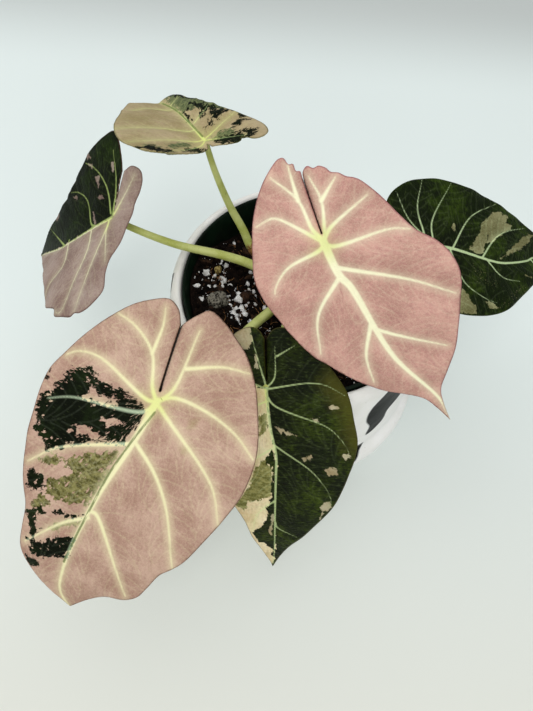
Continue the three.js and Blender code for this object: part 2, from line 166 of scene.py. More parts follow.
# Every leaf, from the same values as its solid: hub, tip, roll, bow, the slope and curl of its two halves,
# the lift of its two back lobes, the droop of its tip, and the outline of each half from the notch to the
# tip. slit is where the notch ends near the hub, slit_width half the width of the painted shadow line along
# the slit, core is a dark line along the midrib, and veins starts with the midrib. Patches are outlines of a
# kind of colour. Outlines, veins and patches are in mm from the hub. A stalk's route is in mm in the frame,
# from the crown up.
FRONT_LEFT = {
    "name": "front_left", "colours": "pink", "vein_scale": 1.08, "slit": (0.9, -3.4), "slit_width": 0.6,
    "core": [(-1, 3.5), (1.5, 14), (4, 28), (5, 41), (6, 52.5), (7, 65.5)],
    "hub": (-49.9, -68.6, 100), "tip": (-78.8, -131, 52), "roll": 8, "bow": 8, "slope": (0, 0),
    "curl": (-3, -3),
    "left": [
        (2, -9.5), (5.4, -25.4), (2, -30.5), (-1, -33.5), (-8, -32), (-15, -28.5), (-21, -24.5),
        (-28.5, -16.5), (-34.5, -6.5), (-38, 1), (-39.5, 8), (-39.5, 18), (-37.5, 26.5), (-34.5, 36),
        (-31.5, 45), (-28.5, 50), (-25.5, 54), (-23.5, 60), (-21.5, 65.5), (-18, 69), (-11, 72), (-5, 77.5),
        (0, 84),
    ],
    "right": [
        (2, -9.5), (5.7, -25.4), (9, -29.5), (14, -31.5), (20, -28.5), (25.5, -24), (30.5, -16.5), (36, -5),
        (39.5, 5), (39.5, 12), (38.5, 18), (36, 31), (32, 42), (27.5, 52), (26, 60), (24.5, 68), (22, 72),
        (15, 77.5), (8.5, 81), (3, 82.8), (0, 84),
    ],
    "veins": [
        [(0, 0), (1, 14), (4.5, 37), (6.5, 68), (5, 78.5), (0, 84)],
        [(0, 0.5), (-3, -5), (-1.5, -26)],
        [(-3.5, -13), (-15, -18.5), (-24, -20)],
        [(0, 0), (-4, -3), (-16, -3.5), (-29, -0.5), (-38, 4.5)],
        [(0, 0.5), (-29, 17.5), (-36.5, 28.5)],
        [(1, 14.5), (-9.5, 21), (-18.5, 30.5), (-28.5, 49)],
        [(4.5, 42.5), (2.5, 42.5), (-17.5, 67)],
        [(0.5, 0), (3.5, -3), (9.5, -13), (19.5, -18.5), (28.5, -20)],
        [(9.5, -13), (11, -22.5), (13.5, -28)],
        [(0, 0), (2.5, 1), (25.5, -4.5), (33.5, -3), (36.5, -0.5)],
        [(0.5, 0.5), (2, 4.5), (27.5, 11), (35, 15)],
        [(1, 15.5), (24, 28), (32, 37)],
        [(4.5, 45), (12, 51), (23, 65.5)],
    ],
    "patches": {
        "dark": [
            [
                (3, 3.5), (11, 1.5), (18, 2.5), (23.5, 1.5), (26, -0.5), (32, 2.5), (33, 6), (35, 11.5),
                (38, 15.5), (37.5, 20), (34.5, 23), (34.5, 26), (29.5, 28.5), (27.5, 30.5), (19.5, 24.5),
                (13, 20.5), (3.5, 17), (3, 12.5), (2, 8),
            ],
            [(30.5, 40.5), (28.5, 38.5), (24, 38.5), (22.5, 41), (23, 44.5), (29.5, 44.5)],
            [(26, 54), (23, 50.5), (18, 49), (21, 52.5), (21, 55.5), (18.5, 58), (20.5, 62), (23.5, 58.5)],
            [(17, 49), (14, 47), (11, 47), (6, 45), (7, 46.5), (12.5, 49)],
            [(22.5, 64), (16.5, 61), (10.5, 55.5), (6.5, 54), (6, 63), (11, 65), (15, 68), (19, 69)],
            [(21.5, 71), (16.5, 70), (15, 72), (18, 74.5)],
            [(39, 6.5), (38.5, 10), (37.5, 10), (38, 8)],
        ],
        "olive": [
            [
                (3.5, 19), (11.5, 23.5), (18.5, 28.5), (19, 32), (15.5, 32.5), (17, 35), (23, 38.5),
                (21.5, 43.5), (16.5, 44.5), (6, 40.5), (4.5, 33), (4.5, 25),
            ],
            [(29, 34.5), (25, 30.5), (19.5, 29.5), (22, 33.5), (27, 35.5)],
            [(25.5, 48), (23, 44.5), (19.5, 44.5), (18.5, 48), (24, 51.5)],
            [(16.5, 56), (13, 51.5), (7, 46.5), (5, 46.5), (10, 51.5), (14, 55.5)],
        ],
        "pale": [
            [(22.5, 21), (20.5, 18), (16.5, 17), (9, 18), (13, 20), (18.5, 20.5)],
            [(24.5, 4), (20, 6), (13, 5.5), (10.5, 7), (17, 9), (24.5, 10), (22, 7.5)],
            [(14, 12.5), (10.5, 11), (7.5, 11), (8.5, 13), (12.5, 13.5)],
        ],
        "tint": [[(-15, 0), (-13.4, 1.4), (-14, 3.4), (-15, 2)], [(-16.6, 9.8), (-15, 10), (-15.6, 11.5)]],
    },
    "stalk": {
        "from": 232,
        "route": [(-12.8, -12.5, 75), (-22.8, -27.5, 80.4), (-33.5, -44, 82), (-44.5, -60.5, 90.5)],
        "tip_radius": 1.5,
    },
}
UPPER_RIGHT = {
    "name": "upper_right", "colours": "rose", "vein_scale": 1.2, "slit": (-0.7, -2.6), "slit_width": 0.32,
    "hub": (1.9, -25, 137), "tip": (55.3, -62, 86), "roll": -52, "bow": 4, "slope": (0.05, 0.05),
    "curl": (-3, -3),
    "left": [
        (-2.2, -8.6), (-4.8, -19), (-6.2, -21.3), (-8.2, -21.9), (-9.6, -20.3), (-11.2, -20.1),
        (-12.9, -18.3), (-13.5, -16.6), (-15.4, -15.1), (-16.8, -13), (-18.6, -11.4), (-20, -9.5),
        (-22.5, -3), (-24.5, 5), (-26.5, 12), (-30, 18), (-31.5, 24), (-30.8, 31), (-26.5, 39), (-21.5, 47),
        (-16.5, 54.5), (-10, 61), (-4.5, 67), (-2, 74), (0, 82.5),
    ],
    "right": [
        (-2.2, -8.6), (-4.6, -19), (-5.5, -21.8), (-4.3, -22.6), (-4.7, -24.8), (-3.3, -25.5),
        (-2.9, -27.9), (-1, -28.6), (4, -27), (8.5, -24.5), (12.5, -21.5), (18, -16), (23, -9), (27.5, -2),
        (28.8, 5), (28.8, 13), (28, 21), (26, 32), (23, 39), (20, 45), (14, 55.5), (7, 62.5), (2.5, 68),
        (1, 74), (0, 82.5),
    ],
    "veins": [
        [(0, 0), (1.5, 12), (0.5, 16.5), (2, 46), (-2, 70.5), (0, 82.5)],
        [(0, -0.5), (1, -5), (0, -15), (4, -25.5)],
        [(0, -15), (-3, -25.5)],
        [(0, 0), (8.5, -13.5), (10.5, -15), (16.5, -15.5)],
        [(0, 0.5), (2, 1.5), (15, 1), (22, 4), (24, 6)],
        [(1.5, 12), (15.5, 20), (23, 32.5)],
        [(2, 31.5), (10, 41.5), (13.5, 52)],
        [(-0.5, 0), (-6.5, -11), (-7, -19)],
        [(-6.5, -11), (-14, -14.5)],
        [(-0.5, -0.5), (-4, -2.5), (-19.5, -5)],
        [(0, 0.5), (-1.5, 2.5), (-20.5, 7.5), (-25, 10.5)],
        [(1, 9), (-17, 24.5), (-26.5, 36)],
        [(2, 31.5), (2, 33), (-15, 51.5)],
    ],
    "stalk": {
        "from": None,
        "route": [(-2.6, 2.5, 78), (-1.4, -2, 94), (0, -10, 113), (1.2, -19, 129)],
        "tip_radius": 1.5,
    },
}
FRONT = {
    "name": "front", "colours": "cream", "vein_scale": 0.55, "slit": (0.3, -3), "slit_width": 0.45,
    "hub": (-13, -53.8, 84), "tip": (-5, -108, 22), "roll": -20, "bow": 6, "slope": (0.1, 0.1),
    "curl": (-6, -6),
    "left": [
        (0.7, -8.5), (1.1, -18), (-1, -21), (-5, -22.2), (-9.5, -20.8), (-14.5, -18), (-19, -14), (-25, -8),
        (-30, -1.5), (-32, 3.5), (-33.3, 9), (-35, 17), (-34.5, 23), (-32, 31.5), (-28.5, 41), (-25, 47.5),
        (-21, 53), (-15, 60.5), (-8.5, 68), (-4, 75), (0, 83),
    ],
    "right": [
        (0.7, -8.5), (1.9, -18), (4.5, -21), (8.5, -21.8), (13.5, -19.3), (16.5, -15), (18.5, -9.5),
        (20.3, -2.5), (21.5, 6), (21.8, 16), (21, 27), (19, 36.5), (16, 45), (12.5, 51.5), (9.5, 57.5),
        (7, 66), (4.5, 71), (2.2, 76), (0.6, 80), (0, 83),
    ],
    "veins": [
        [(0, 0), (-2, 14), (-4.5, 25), (-4.5, 31), (-2, 71), (0, 83)],
        [(0, -0.5), (7.5, -20)],
        [(0, -0.5), (-3, -4), (-2.5, -15.5)],
        [(-3.5, -12), (-10.5, -16.5)],
        [(0, 0), (-16.5, -3.5), (-22.5, -3), (-30, 0.5)],
        [(-1, 3), (-3, 5.5), (-22.5, 11.5), (-26.5, 14), (-31.5, 20), (-32, 22.5)],
        [(-4, 21), (-19, 30.5), (-25.5, 40), (-26, 44)],
        [(-3.5, 55.5), (-4, 58), (-12, 61.5)],
        [(0, 0), (8, -2), (18.5, 2.5)],
        [(-1, 4), (10, 10), (19.5, 20)],
        [(-3.5, 22), (8, 31), (15, 42)],
        [(-3.5, 45), (4, 53), (6.5, 62)],
    ],
    "patches": {
        "dark": [
            [
                (0, 0), (-2, 14), (-4.5, 25), (-4.5, 31), (-3.6, 50), (-2, 71), (0, 83), (0, 95), (-45, 90),
                (-45, -30), (30, -30), (30, -3), (12, -2.5), (4, -1),
            ],
            [
                (-3, 23), (-1, 25.5), (-0.5, 29), (-3, 30), (-2.5, 43), (-0.5, 48), (-0.5, 53), (1.5, 57),
                (6.5, 62.5), (5, 67), (1, 67.5), (-0.5, 70.5), (-1, 78.5), (-4.5, 60.5), (-5, 29.5),
            ],
        ],
        "olive": [
            [(2.5, 10), (0, 8.5), (-1, 11), (0, 16.5), (2, 18)],
            [
                (4, 30.5), (-0.5, 27), (-3, 30.5), (-3, 37), (-2, 43), (3.5, 45.5), (7, 46.5), (9, 51),
                (14, 48.5), (8, 42), (6, 38),
            ],
            [(20, 2), (12, 6), (8, 18), (12, 26), (20, 24)],
        ],
        "pale": [
            [(-3, 50), (-2, 52.5), (-1.5, 57.5), (0, 60.5), (-1.5, 62), (-2.5, 56.5)],
            [(-21.5, 45.5), (-23, 42.5), (-25.5, 42), (-26, 45), (-23, 47)],
            [(-21.5, 51.5), (-23, 48), (-22.5, 47.5), (-21.5, 50)],
            [(-30, 22), (-32, 21), (-32.5, 23.5), (-31, 24)],
            [(-23, 28.5), (-25, 27), (-28, 28), (-28, 30.5), (-25, 30.5)],
            [(-24, 4.5), (-26, 3.5), (-27.5, 4.5), (-26.5, 5.5)],
            [(-15, 24.5), (-18, 23), (-18.5, 25), (-15.5, 26)],
            [(-4, 13.5), (-7, 14), (-13, 16), (-9, 16), (-6, 15.5)],
            [(-18, 9), (-20.5, 8.5), (-21, 10), (-19, 10.5)],
            [(15, -21), (8, -23), (6.5, -17), (8, -13.5), (12, -14.5), (15, -16)],
            [(4, -12), (5.2, -12), (5, -7.5), (3.4, -7)],
            [(9, -8), (10.5, -8.5), (11, -6), (9.5, -5.5)],
        ],
        "tint": [[(-24, -8), (-36, 0), (-38, 22), (-32, 20), (-30, 8), (-25, 1), (-22, -4)]],
    },
    "stalk": {
        "from": 285, "route": [(-3, -8, 73.5), (-6.2, -21.5, 79.5), (-10, -38, 82)], "tip_radius": 1.5,
    },
}
RIGHT = {
    "name": "right", "colours": "green", "vein_scale": 0.6, "hub": (50.1, 6.4, 100), "tip": (117, 22.7, 76),
    "roll": -12, "bow": 4, "slope": (0.1, 0.1), "curl": (-4, -4),
    "left": [
        (-2.2, -6.6), (-5.5, -15), (-9, -17), (-14, -16.6), (-20, -16.6), (-24.5, -14), (-28, -9.5),
        (-30.3, -4), (-31.5, 4), (-31, 10), (-28.8, 18), (-25, 27.5), (-20, 37.5), (-14, 47.5), (-8, 57),
        (-3, 65.5), (0, 73),
    ],
    "right": [
        (-2.2, -6.6), (-4.2, -15), (-1.5, -17), (3, -17.3), (9.5, -17), (16.5, -15.5), (22.5, -10),
        (26.5, -3), (29, 4.5), (30, 12.5), (29.5, 19.5), (27.5, 26.5), (22, 35), (15.5, 44), (10.5, 51.5),
        (6.5, 58.5), (2.5, 66), (0, 73),
    ],
    "veins": [
        [(0, 0), (0.5, 6), (5.5, 23), (6.5, 30), (4, 44.5), (2, 49), (0, 73)],
        [(-0.5, 0), (-11.5, -8.5), (-25, -12)],
        [(-5.5, -3.5), (-17, -4.5), (-30.5, 0)],
        [(-0.5, 0), (-10.5, 0.5), (-29.5, 13)],
        [(1, 7.5), (-13.5, 18.5), (-21, 33)],
        [(4.5, 20.5), (-5, 29.5), (-8.5, 36), (-11.5, 47.5)],
        [(1, 6.5), (13.5, 8.5), (17.5, 10.5), (23, 18), (24.5, 22.5)],
        [(5, 22), (13, 28), (14.5, 37)],
        [(0, 0), (12, -1), (26, 3)],
        [(0, -1), (6, -9), (14, -13)],
        [(3, 47), (8, 51), (9, 54)],
    ],
    "patches": {
        "dark": [[(-60, -60), (60, -60), (60, 100), (-60, 100)]],
        "pale": [
            [
                (1, 15), (-6.5, 21), (-11, 23.5), (-16.5, 30), (-17, 33), (-15.5, 38), (-12.5, 36),
                (-11.5, 40), (-10, 38.5), (-6.5, 32), (-3.5, 28.5), (-2.5, 25), (-6.5, 25.5), (-4, 24.5),
                (2.5, 21.5), (3, 19.5),
            ],
            [(4.5, 29.5), (-1.5, 37.5), (-6, 43.5), (-8.5, 48), (-8.5, 51), (-4.5, 47), (0, 40), (2.5, 34)],
            [(19, 7.5), (21, 9.5), (24, 10), (25.5, 11.5), (29, 11.5), (29, 8), (28.5, 5), (24, 1)],
            [(-9.5, 9), (-10.5, 10), (-8, 10.5), (-6.5, 9.5), (-7.5, 8.5)],
            [(11, 39), (12, 42), (12.5, 43.5), (12, 40.5)],
            [(24, 17), (24, 20), (26.5, 22.5), (27.5, 18)],
        ],
        "speckle": [
            [(22.5, 26), (16.5, 35.5), (16.5, 41), (21.5, 36), (26, 28), (26.5, 23)],
            [(6.5, 13.5), (9.5, 16.5), (11.5, 21.5), (18, 27), (18.5, 20), (16.5, 14)],
        ],
    },
    "stalk": {
        "from": 0, "route": [(7.5, 4.2, 75), (18, 4.6, 84), (32, 5.4, 92), (43, 6, 97)], "tip_radius": 1.3,
    },
}
BACK = {
    "name": "back", "colours": "beige", "vein_scale": 0.5, "core": [(0.5, 2), (1, 28), (-1, 54), (0, 66)],
    "hub": (-42.5, 26, 128), "tip": (-70.7, 71.1, 108), "roll": 18, "bow": 3, "slope": (0.8, -0.1),
    "curl": (0, -3), "lift": (0.025, 0.016), "droop": (44, 0.035),
    "left": [
        (-0.4, -3), (-1.3, -6), (-5, -9), (-10, -11), (-15, -11.3), (-19.7, -9.3), (-23, -5.5), (-25.4, 0),
        (-25.6, 5), (-24.6, 11), (-22, 19), (-18.7, 27), (-16, 35), (-13, 43), (-10, 51), (-6.5, 59),
        (-3, 65.5), (0, 71),
    ],
    "right": [
        (-0.4, -3), (0.3, -6), (3.5, -9), (7.5, -12.4), (9.4, -12.6), (10.8, -10.2), (12, -13),
        (12.6, -16.4), (13.6, -19), (15.8, -20.2), (18, -18.8), (19.5, -15.4), (20.4, -10), (20, -4),
        (17.8, 3), (15.2, 12), (12.4, 22), (9.6, 32), (7.2, 42), (5, 51), (2.7, 61), (0, 71),
    ],
    "veins": [
        [(0, 0), (1, 28), (-1, 54), (0, 71)],
        [(0.5, 30.5), (-6.5, 36.5), (-15, 32)],
        [(0.5, 8), (-10.5, 12.5), (-17, 12.5), (-24, 10.5)],
        [(0, 0.5), (-11, 2.5), (-23.5, 0)],
        [(1, 35), (5.5, 38)],
        [(2, 12), (11.5, 18)],
        [(0, 0), (17.5, 5.5)],
        [(0, -0.5), (6, -5), (13, -11)],
        [(0, -0.5), (-7, -5), (-15, -9)],
    ],
    "patches": {
        "dark": [
            [(6, 27.5), (10.5, 22), (11, 17.5), (7.5, 14), (5.5, 13.5), (7.5, 19), (6.5, 24.5)],
            [(2, 22.5), (5, 23.5), (2.5, 20), (2, 16), (3.5, 14), (1.5, 14), (1, 16)],
            [(6, 14), (9, 13.5), (15, 11), (17, 6.5), (13, 7.5), (9.5, 6), (8, 7.5), (9, 12.5), (6, 12)],
            [(5, 6.5), (6.5, 7.5), (7.5, 5), (4, 5)],
            [(17, 3), (21, -1), (19, -1.5), (16.5, 1)],
            [(12, -1), (15.5, 0.5), (18, -3.5), (14, -3.5), (11.5, -3)],
            [(12, -6), (14.5, -7.5), (17.5, -12), (14, -15), (12.5, -14), (12.5, -10.5)],
            [(-23, -4.5), (-18.5, -3), (-16, -6.5), (-12, -6), (-13, -11), (-19.5, -9.5)],
            [(-9, -4.5), (-5, -3.5), (-2, -6), (-5, -9.5), (-10, -9)],
            [(5.5, 50), (9, 38), (12.5, 24), (11, 24), (7, 36), (4.5, 46)],
            [(2, -3), (9, -5), (12.5, -8), (12, -14), (8, -14), (3, -8)],
            [(9, 20), (12, 19), (13.5, 13), (11, 12), (9.5, 15)],
        ],
        "olive": [
            [
                (1, 35), (3, 50), (5.5, 50), (8.5, 40), (12.5, 27), (17, 12), (18, 6.5), (14, 9),
                (10.5, 14), (7, 19), (4, 22), (1.5, 21.5), (1, 29.5),
            ],
            [(2, -2), (6.5, -0.5), (11, -2.5), (9.5, -13), (3.5, -5.5), (0.5, -1)],
            [(-23, -3.5), (-18.5, -2), (-16, -5.5), (-19.5, -8.5), (-21.5, -6.5)],
            [(-13.5, -1.5), (-8, 0.5), (-5, -0.5), (-7, -3.5), (-13.5, -5.5)],
        ],
    },
    "stalk": {
        "from": 130,
        "route": [(-14.5, 10.7, 72.5), (-23, 14, 80), (-27.8, 18, 89), (-33.2, 21, 99), (-39, 24.2, 114.5)],
        "tip_radius": 1.1, "husk": 31,
    },
}
LEFT = {
    "name": "left", "colours": "mauve", "vein_scale": 0.65, "hub": (-79.2, 8, 102), "tip": (-127.4, 25, 50),
    "roll": 26, "bow": 4, "slope": (0.3, 0.3), "curl": (-3, -3),
    "left": [
        (7, -3.4), (16.6, -9), (17.8, -13), (15.3, -17), (11.5, -17.4), (7.5, -15.8), (2.5, -12), (-5, -11),
        (-11.5, -10.8), (-17.5, -8.2), (-25, -8.2), (-33, -10), (-38.5, -5.5), (-41, -0.5), (-40.9, 3),
        (-42, 4.8), (-41.4, 11), (-40.6, 16.6), (-37.6, 18.4), (-36.8, 21.2), (-35.6, 27), (-33, 29.6),
        (-26, 35.5), (-21, 41), (-16, 47), (-10, 54.5), (-4.5, 63), (0, 73),
    ],
    "right": [
        (7, -3.4), (16.8, -8.2), (21, -8.4), (28, -7.4), (33.5, -4.8), (32.6, 1), (30.6, 7), (28, 12.5),
        (23, 19), (17.5, 26.5), (14, 33.5), (10.5, 41), (8.5, 50), (6, 58), (3, 66), (0, 73),
    ],
    "veins": [
        [(0, 0), (-5.5, 25.5), (-6.5, 36.5), (-1.5, 68), (0, 73)],
        [(2, 0.5), (11.5, 1), (18, 4.5), (22.5, 9), (25, 13.5)],
        [(-2, 8.5), (0, 13), (10, 14.5), (14.5, 20), (16, 26)],
        [(-6, 31.5), (0, 42), (7, 52)],
        [(-4, 28.5), (-17, 24), (-24.5, 31), (-30, 31.5)],
        [(-2, 12), (-13, 8.5), (-26, 10), (-39.5, 13), (-39, 16.5)],
        [(-0.5, 1), (-40, 3)],
        [(-1.5, 1), (-6, 0.5), (-20.5, -6)],
        [(1, -0.5), (14, -4.5), (26, -4)],
        [(1, -1), (8, -8.5), (14, -14)],
    ],
    "patches": {
        "dark": [
            [
                (0, 0), (7, -3.4), (16.5, -8.3), (25, -13), (60, -13), (60, 30), (30, 90), (0, 85), (0, 73),
                (-1.5, 68), (-6.5, 36.5), (-5.5, 25.5),
            ],
        ],
        "pale": [
            [(28.5, 13), (28, 10.5), (26, 9), (26, 11.5)],
            [(25.5, 12.5), (23.5, 9.5), (21, 8.5), (23, 11)],
            [(18, 7), (18, 5), (15.5, 5), (13, 6), (15.5, 7)],
            [(21.5, -2.5), (21, -4), (18, -4), (17, -3.5), (19.5, -2.5)],
            [(9.5, 7), (10, 4.5), (8.5, 3), (8, 5.5)],
            [(13.5, 24), (13.5, 21.5), (12, 21.5), (12.5, 23.5)],
            [(9.5, 44.5), (11, 38.5), (9, 39), (8, 42.5)],
            [(4.5, 11), (4, 10), (-1, 9.5), (-1, 11)],
        ],
    },
    "stalk": {
        "from": 180,
        "route": [
            (-13.5, 4.4, 74.5), (-23.6, 5.1, 82), (-35.2, 5.7, 86), (-55.1, 6.8, 89.8), (-72.4, 7.7, 97.5),
        ],
        "tip_radius": 1.3,
    },
}
LEAVES = [FRONT_LEFT, UPPER_RIGHT, FRONT, RIGHT, BACK, LEFT]

# Leaf colours, as sRGB hex. light, dark and olive are flesh in two tones. edge is how far the patches'
# outlines stray, in mm, soft how softly a vein ends, and the shares after it how strong each kind of
# marking is. crease sets how strong the painted shade and painted highlight of the puckers are, and their
# bump.
LEAF_LOOKS = {
    "pink": {
        "light": ("A78273", "C7A694"), "dark": ("080D03", "18240A"), "olive": ("4F4C25", "87824F"),
        "vein": "F1ECBB", "dark_vein": "B4C4A4", "margin": "85604F", "edge": 1.25, "soft": 0.5, "halo": 0.3,
        "fine": 0.13, "holes": 1, "isles": 1, "crease": 0.3, "rough": 0.55, "gloss": 0.05,
    },
    "rose": {
        "light": ("B88A7E", "D6A598"), "dark": ("0A1004", "1C2C0E"), "olive": ("5A5730", "908B5E"),
        "vein": "FFFCD6", "dark_vein": "7F9468", "margin": "9C5262", "edge": 1.0, "soft": 0.42,
        "halo": 0.24, "fine": 0.1, "holes": 1, "isles": 1, "crease": 0.3, "rough": 0.55, "gloss": 0.05,
    },
    "cream": {
        "light": ("D6BC8F", "F8E9C6"), "dark": ("121B02", "3B4A0C"), "olive": ("64632F", "949056"),
        "vein": "DEE6AC", "dark_vein": "B3C58C", "margin": "5F5A2A", "edge": 0.9, "soft": 0.22,
        "halo": 0.26, "fine": 0.2, "holes": 0, "isles": 0.5, "crease": 0.8, "rough": 0.35, "gloss": 0.09,
    },
    "green": {
        "light": ("65613B", "938E66"), "dark": ("101B02", "35480B"), "olive": ("5A5730", "8C8658"),
        "vein": "D5E2AC", "dark_vein": "B8CC9A", "margin": "3A451A", "edge": 0.9, "soft": 0.22, "halo": 0.2,
        "fine": 0.15, "holes": 0, "isles": 0.85, "crease": 0.6, "rough": 0.45, "gloss": 0.06,
    },
    "beige": {
        "light": ("9B8963", "B5A182"), "dark": ("070B04", "121C0C"), "olive": ("4A5336", "68714C"),
        "vein": "CFD58E", "dark_vein": "A9BF80", "margin": "6E7344", "edge": 1.6, "soft": 0.3, "halo": 0.22,
        "fine": 0.12, "holes": 0.5, "isles": 1, "crease": 0.3, "rough": 0.55, "gloss": 0.05,
    },
    "mauve": {
        "light": ("836961", "A48F86"), "dark": ("0B1203", "202F0B"), "olive": ("5A5730", "8C8658"),
        "vein": "DAD6B0", "dark_vein": "A3B56A", "margin": "6E4A47", "edge": 0.9, "soft": 0.3, "halo": 0.2,
        "fine": 0.12, "holes": 0, "isles": 0.7, "crease": 0.5, "rough": 0.5, "gloss": 0.05,
    },
}

# Colours that all leaves share.
STAIN = "857B3C"
DARK_STAIN = "57551A"
HUB_VEIN = "DDE780"
DARK_AT_HUB = "0B1103"
# Painted shade in the creases of the puckers, and a painted highlight on their ridges.
CREASE_SHADE = "060A02"
CREASE_HIGHLIGHT = "6C7B4A"
MIDRIB_CORE = "53672B"
# Painted shadow along the slit of the notch.
SLIT_SHADE = "121008"
UNDERSIDE = "B9BC8E"


def srgb(text):
    """A hex sRGB colour as linear RGBA."""
    values = [int(text[i : i + 2], 16) / 255 for i in (0, 2, 4)]
    linear = [v / 12.92 if v <= 0.04045 else ((v + 0.055) / 1.055) ** 2.4 for v in values]
    return (*linear, 1.0)


# Curves and distances.


def along_line(line):
    """How far along a line each of its points lies."""
    return np.concatenate([[0], np.cumsum(np.linalg.norm(np.diff(line, axis=0), axis=1))])


def smooth_line(points, spacing):
    """Evenly spaced points of the centripetal Catmull-Rom curve through the points."""
    line = np.array(points, float)
    if len(line) < 3:
        dense = np.linspace(line[0], line[-1], 50)
    else:
        ends = np.vstack([2 * line[0] - line[1], line, 2 * line[-1] - line[-2]])
        share = np.linspace(0, 1, 24, endpoint=False)[:, None]
        dense = []
        for p0, p1, p2, p3 in zip(ends, ends[1:], ends[2:], ends[3:]):
            gaps = (p1 - p0, p2 - p1, p3 - p2)
            t0, t1, t2 = (max(np.linalg.norm(gap) ** 0.5, 1e-4) for gap in gaps)
            m1 = t1 * ((p1 - p0) / t0 - (p2 - p0) / (t0 + t1) + (p2 - p1) / t1)
            m2 = t1 * ((p2 - p1) / t1 - (p3 - p1) / (t1 + t2) + (p3 - p2) / t2)
            dense.append(
                (2 * share**3 - 3 * share**2 + 1) * p1
                + (share**3 - 2 * share**2 + share) * m1
                + (3 * share**2 - 2 * share**3) * p2
                + (share**3 - share**2) * m2
            )
        dense = np.vstack([*dense, line[-1:]])
    along = along_line(dense)
    stops = np.linspace(0, along[-1], max(2, round(along[-1] / spacing)) + 1)
    return np.stack([np.interp(stops, along, axis) for axis in dense.T], -1)


def line_distance(flat, line, half_widths=(0, 0)):
    """Each point's distance to a line, and how far it lies inside the half widths of its start and end."""
    near = np.full(len(flat), FAR)
    inside = np.full(len(flat), -FAR)
    widths = np.interp(np.linspace(0, 1, len(line)), [0, 1], half_widths)
    for a, b, width_a, width_b in zip(line, line[1:], widths, widths[1:]):
        reach = b - a
        share = np.clip((flat - a) @ reach / max(reach @ reach, 1e-12), 0, 1)
        away = flat - a - share[:, None] * reach
        distance = np.hypot(away[:, 0], away[:, 1])
        near = np.minimum(near, distance)
        inside = np.maximum(inside, width_a + (width_b - width_a) * share - distance)
    return near, inside


def depth_inside(flat, loop):
    """How far each point lies inside a closed outline, negative outside it."""
    loop = np.array(loop, float)
    distance, _ = line_distance(flat, np.vstack([loop, loop[:1]]))
    x, y = flat.T
    inside = np.zeros(len(flat), bool)
    for (ax, ay), (bx, by) in zip(loop, np.roll(loop, -1, axis=0)):
        if ay != by:
            inside ^= ((ay > y) != (by > y)) & (x < ax + (y - ay) * (bx - ax) / (by - ay))
    return np.where(inside, distance, -distance)


def smoothstep(low, high, value):
    """0 below low and 1 above high, with a smooth rise. low may be the larger."""
    share = np.clip((value - low) / (high - low), 0, 1)
    return share * share * (3 - 2 * share)


def bell(value, width):
    """1 at 0, and near 0 at twice the width."""
    return np.exp(-((value / width) ** 2))


def nearest(points, spot):
    """The distance from a spot to the nearest of the points."""
    return np.linalg.norm(points - spot, axis=1).min()


# Meshes and pieces.


def piece(name, points, faces, material, replaces=(), slot=None, attributes=None):
    """A smooth mesh piece from points in mm, riding on the root body."""
    mesh = bpy.data.meshes.new(name)
    mesh.from_pydata((np.asarray(points, float) * MM).tolist(), [], faces)
    for key, values in (attributes or {}).items():
        values = np.asarray(values, np.float32)
        kind, field = ("FLOAT", "value") if values.ndim == 1 else ("FLOAT_VECTOR", "vector")
        mesh.attributes.new(key, kind, "POINT").data.foreach_set(field, values.ravel())
    mesh.shade_smooth()
    mesh.materials.append(material)
    made = bpy.data.objects.new(name, mesh)
    bpy.context.scene.collection.objects.link(made)
    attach(made, "root")
    if replaces:
        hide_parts(*replaces)


def skin(rows, sides):
    """Faces of a closed surface over rings of points. The points of a first and a last pole come last."""
    first, last = rows * sides, rows * sides + 1
    top = (rows - 1) * sides
    faces = []
    for side in range(sides):
        near = (side + 1) % sides
        faces.append((first, near, side))
        for a in range(0, top, sides):
            faces.append((a + side, a + near, a + sides + near, a + sides + side))
        faces.append((last, top + side, top + near))
    return faces


def lathe(profile, segments):
    """Points and faces of a closed profile of (radius, height) points turned about Z.

    A profile starts and ends on the axis, and runs anticlockwise seen with the axis on the left."""
    profile = np.array(profile, float)
    angles = 2 * np.pi * np.arange(segments) / segments
    ring = np.stack([np.cos(angles), np.sin(angles)], -1)
    rows = [np.column_stack([radius * ring, np.full(segments, height)]) for radius, height in profile[1:-1]]
    points = np.vstack([*rows, [[0, 0, profile[0, 1]], [0, 0, profile[-1, 1]]]])
    return points, skin(len(rows), segments)


def tube(line, radii, sides):
    """Points and faces of a closed tube along a line, with a radius for each of its points or corners."""
    line = np.asarray(line, float)
    ahead = np.gradient(line, axis=0)
    ahead /= np.linalg.norm(ahead, axis=1)[:, None]
    across = np.cross(ahead[0], UP if abs(ahead[0, 2]) < 0.9 else (1, 0, 0))
    across /= np.linalg.norm(across)
    turns = 2 * np.pi * np.arange(sides) / sides
    rows = []
    for centre, forward, radius in zip(line, ahead, radii):
        across = across - forward * (across @ forward)
        across /= np.linalg.norm(across)
        other = np.cross(forward, across)
        ring = centre + (radius * np.cos(turns))[:, None] * across
        rows.append(ring + (radius * np.sin(turns))[:, None] * other)
    return np.vstack([*rows, line[:1], line[-1:]]), skin(len(rows), sides)


def joined(shapes):
    """Points and faces of several shapes as one."""
    points, faces, total = [], [], 0
    for some_points, some_faces in shapes:
        faces += [tuple(i + total for i in face) for face in some_faces]
        points.append(some_points)
        total += len(some_points)
    return np.vstack(points), faces


# Material nodes.


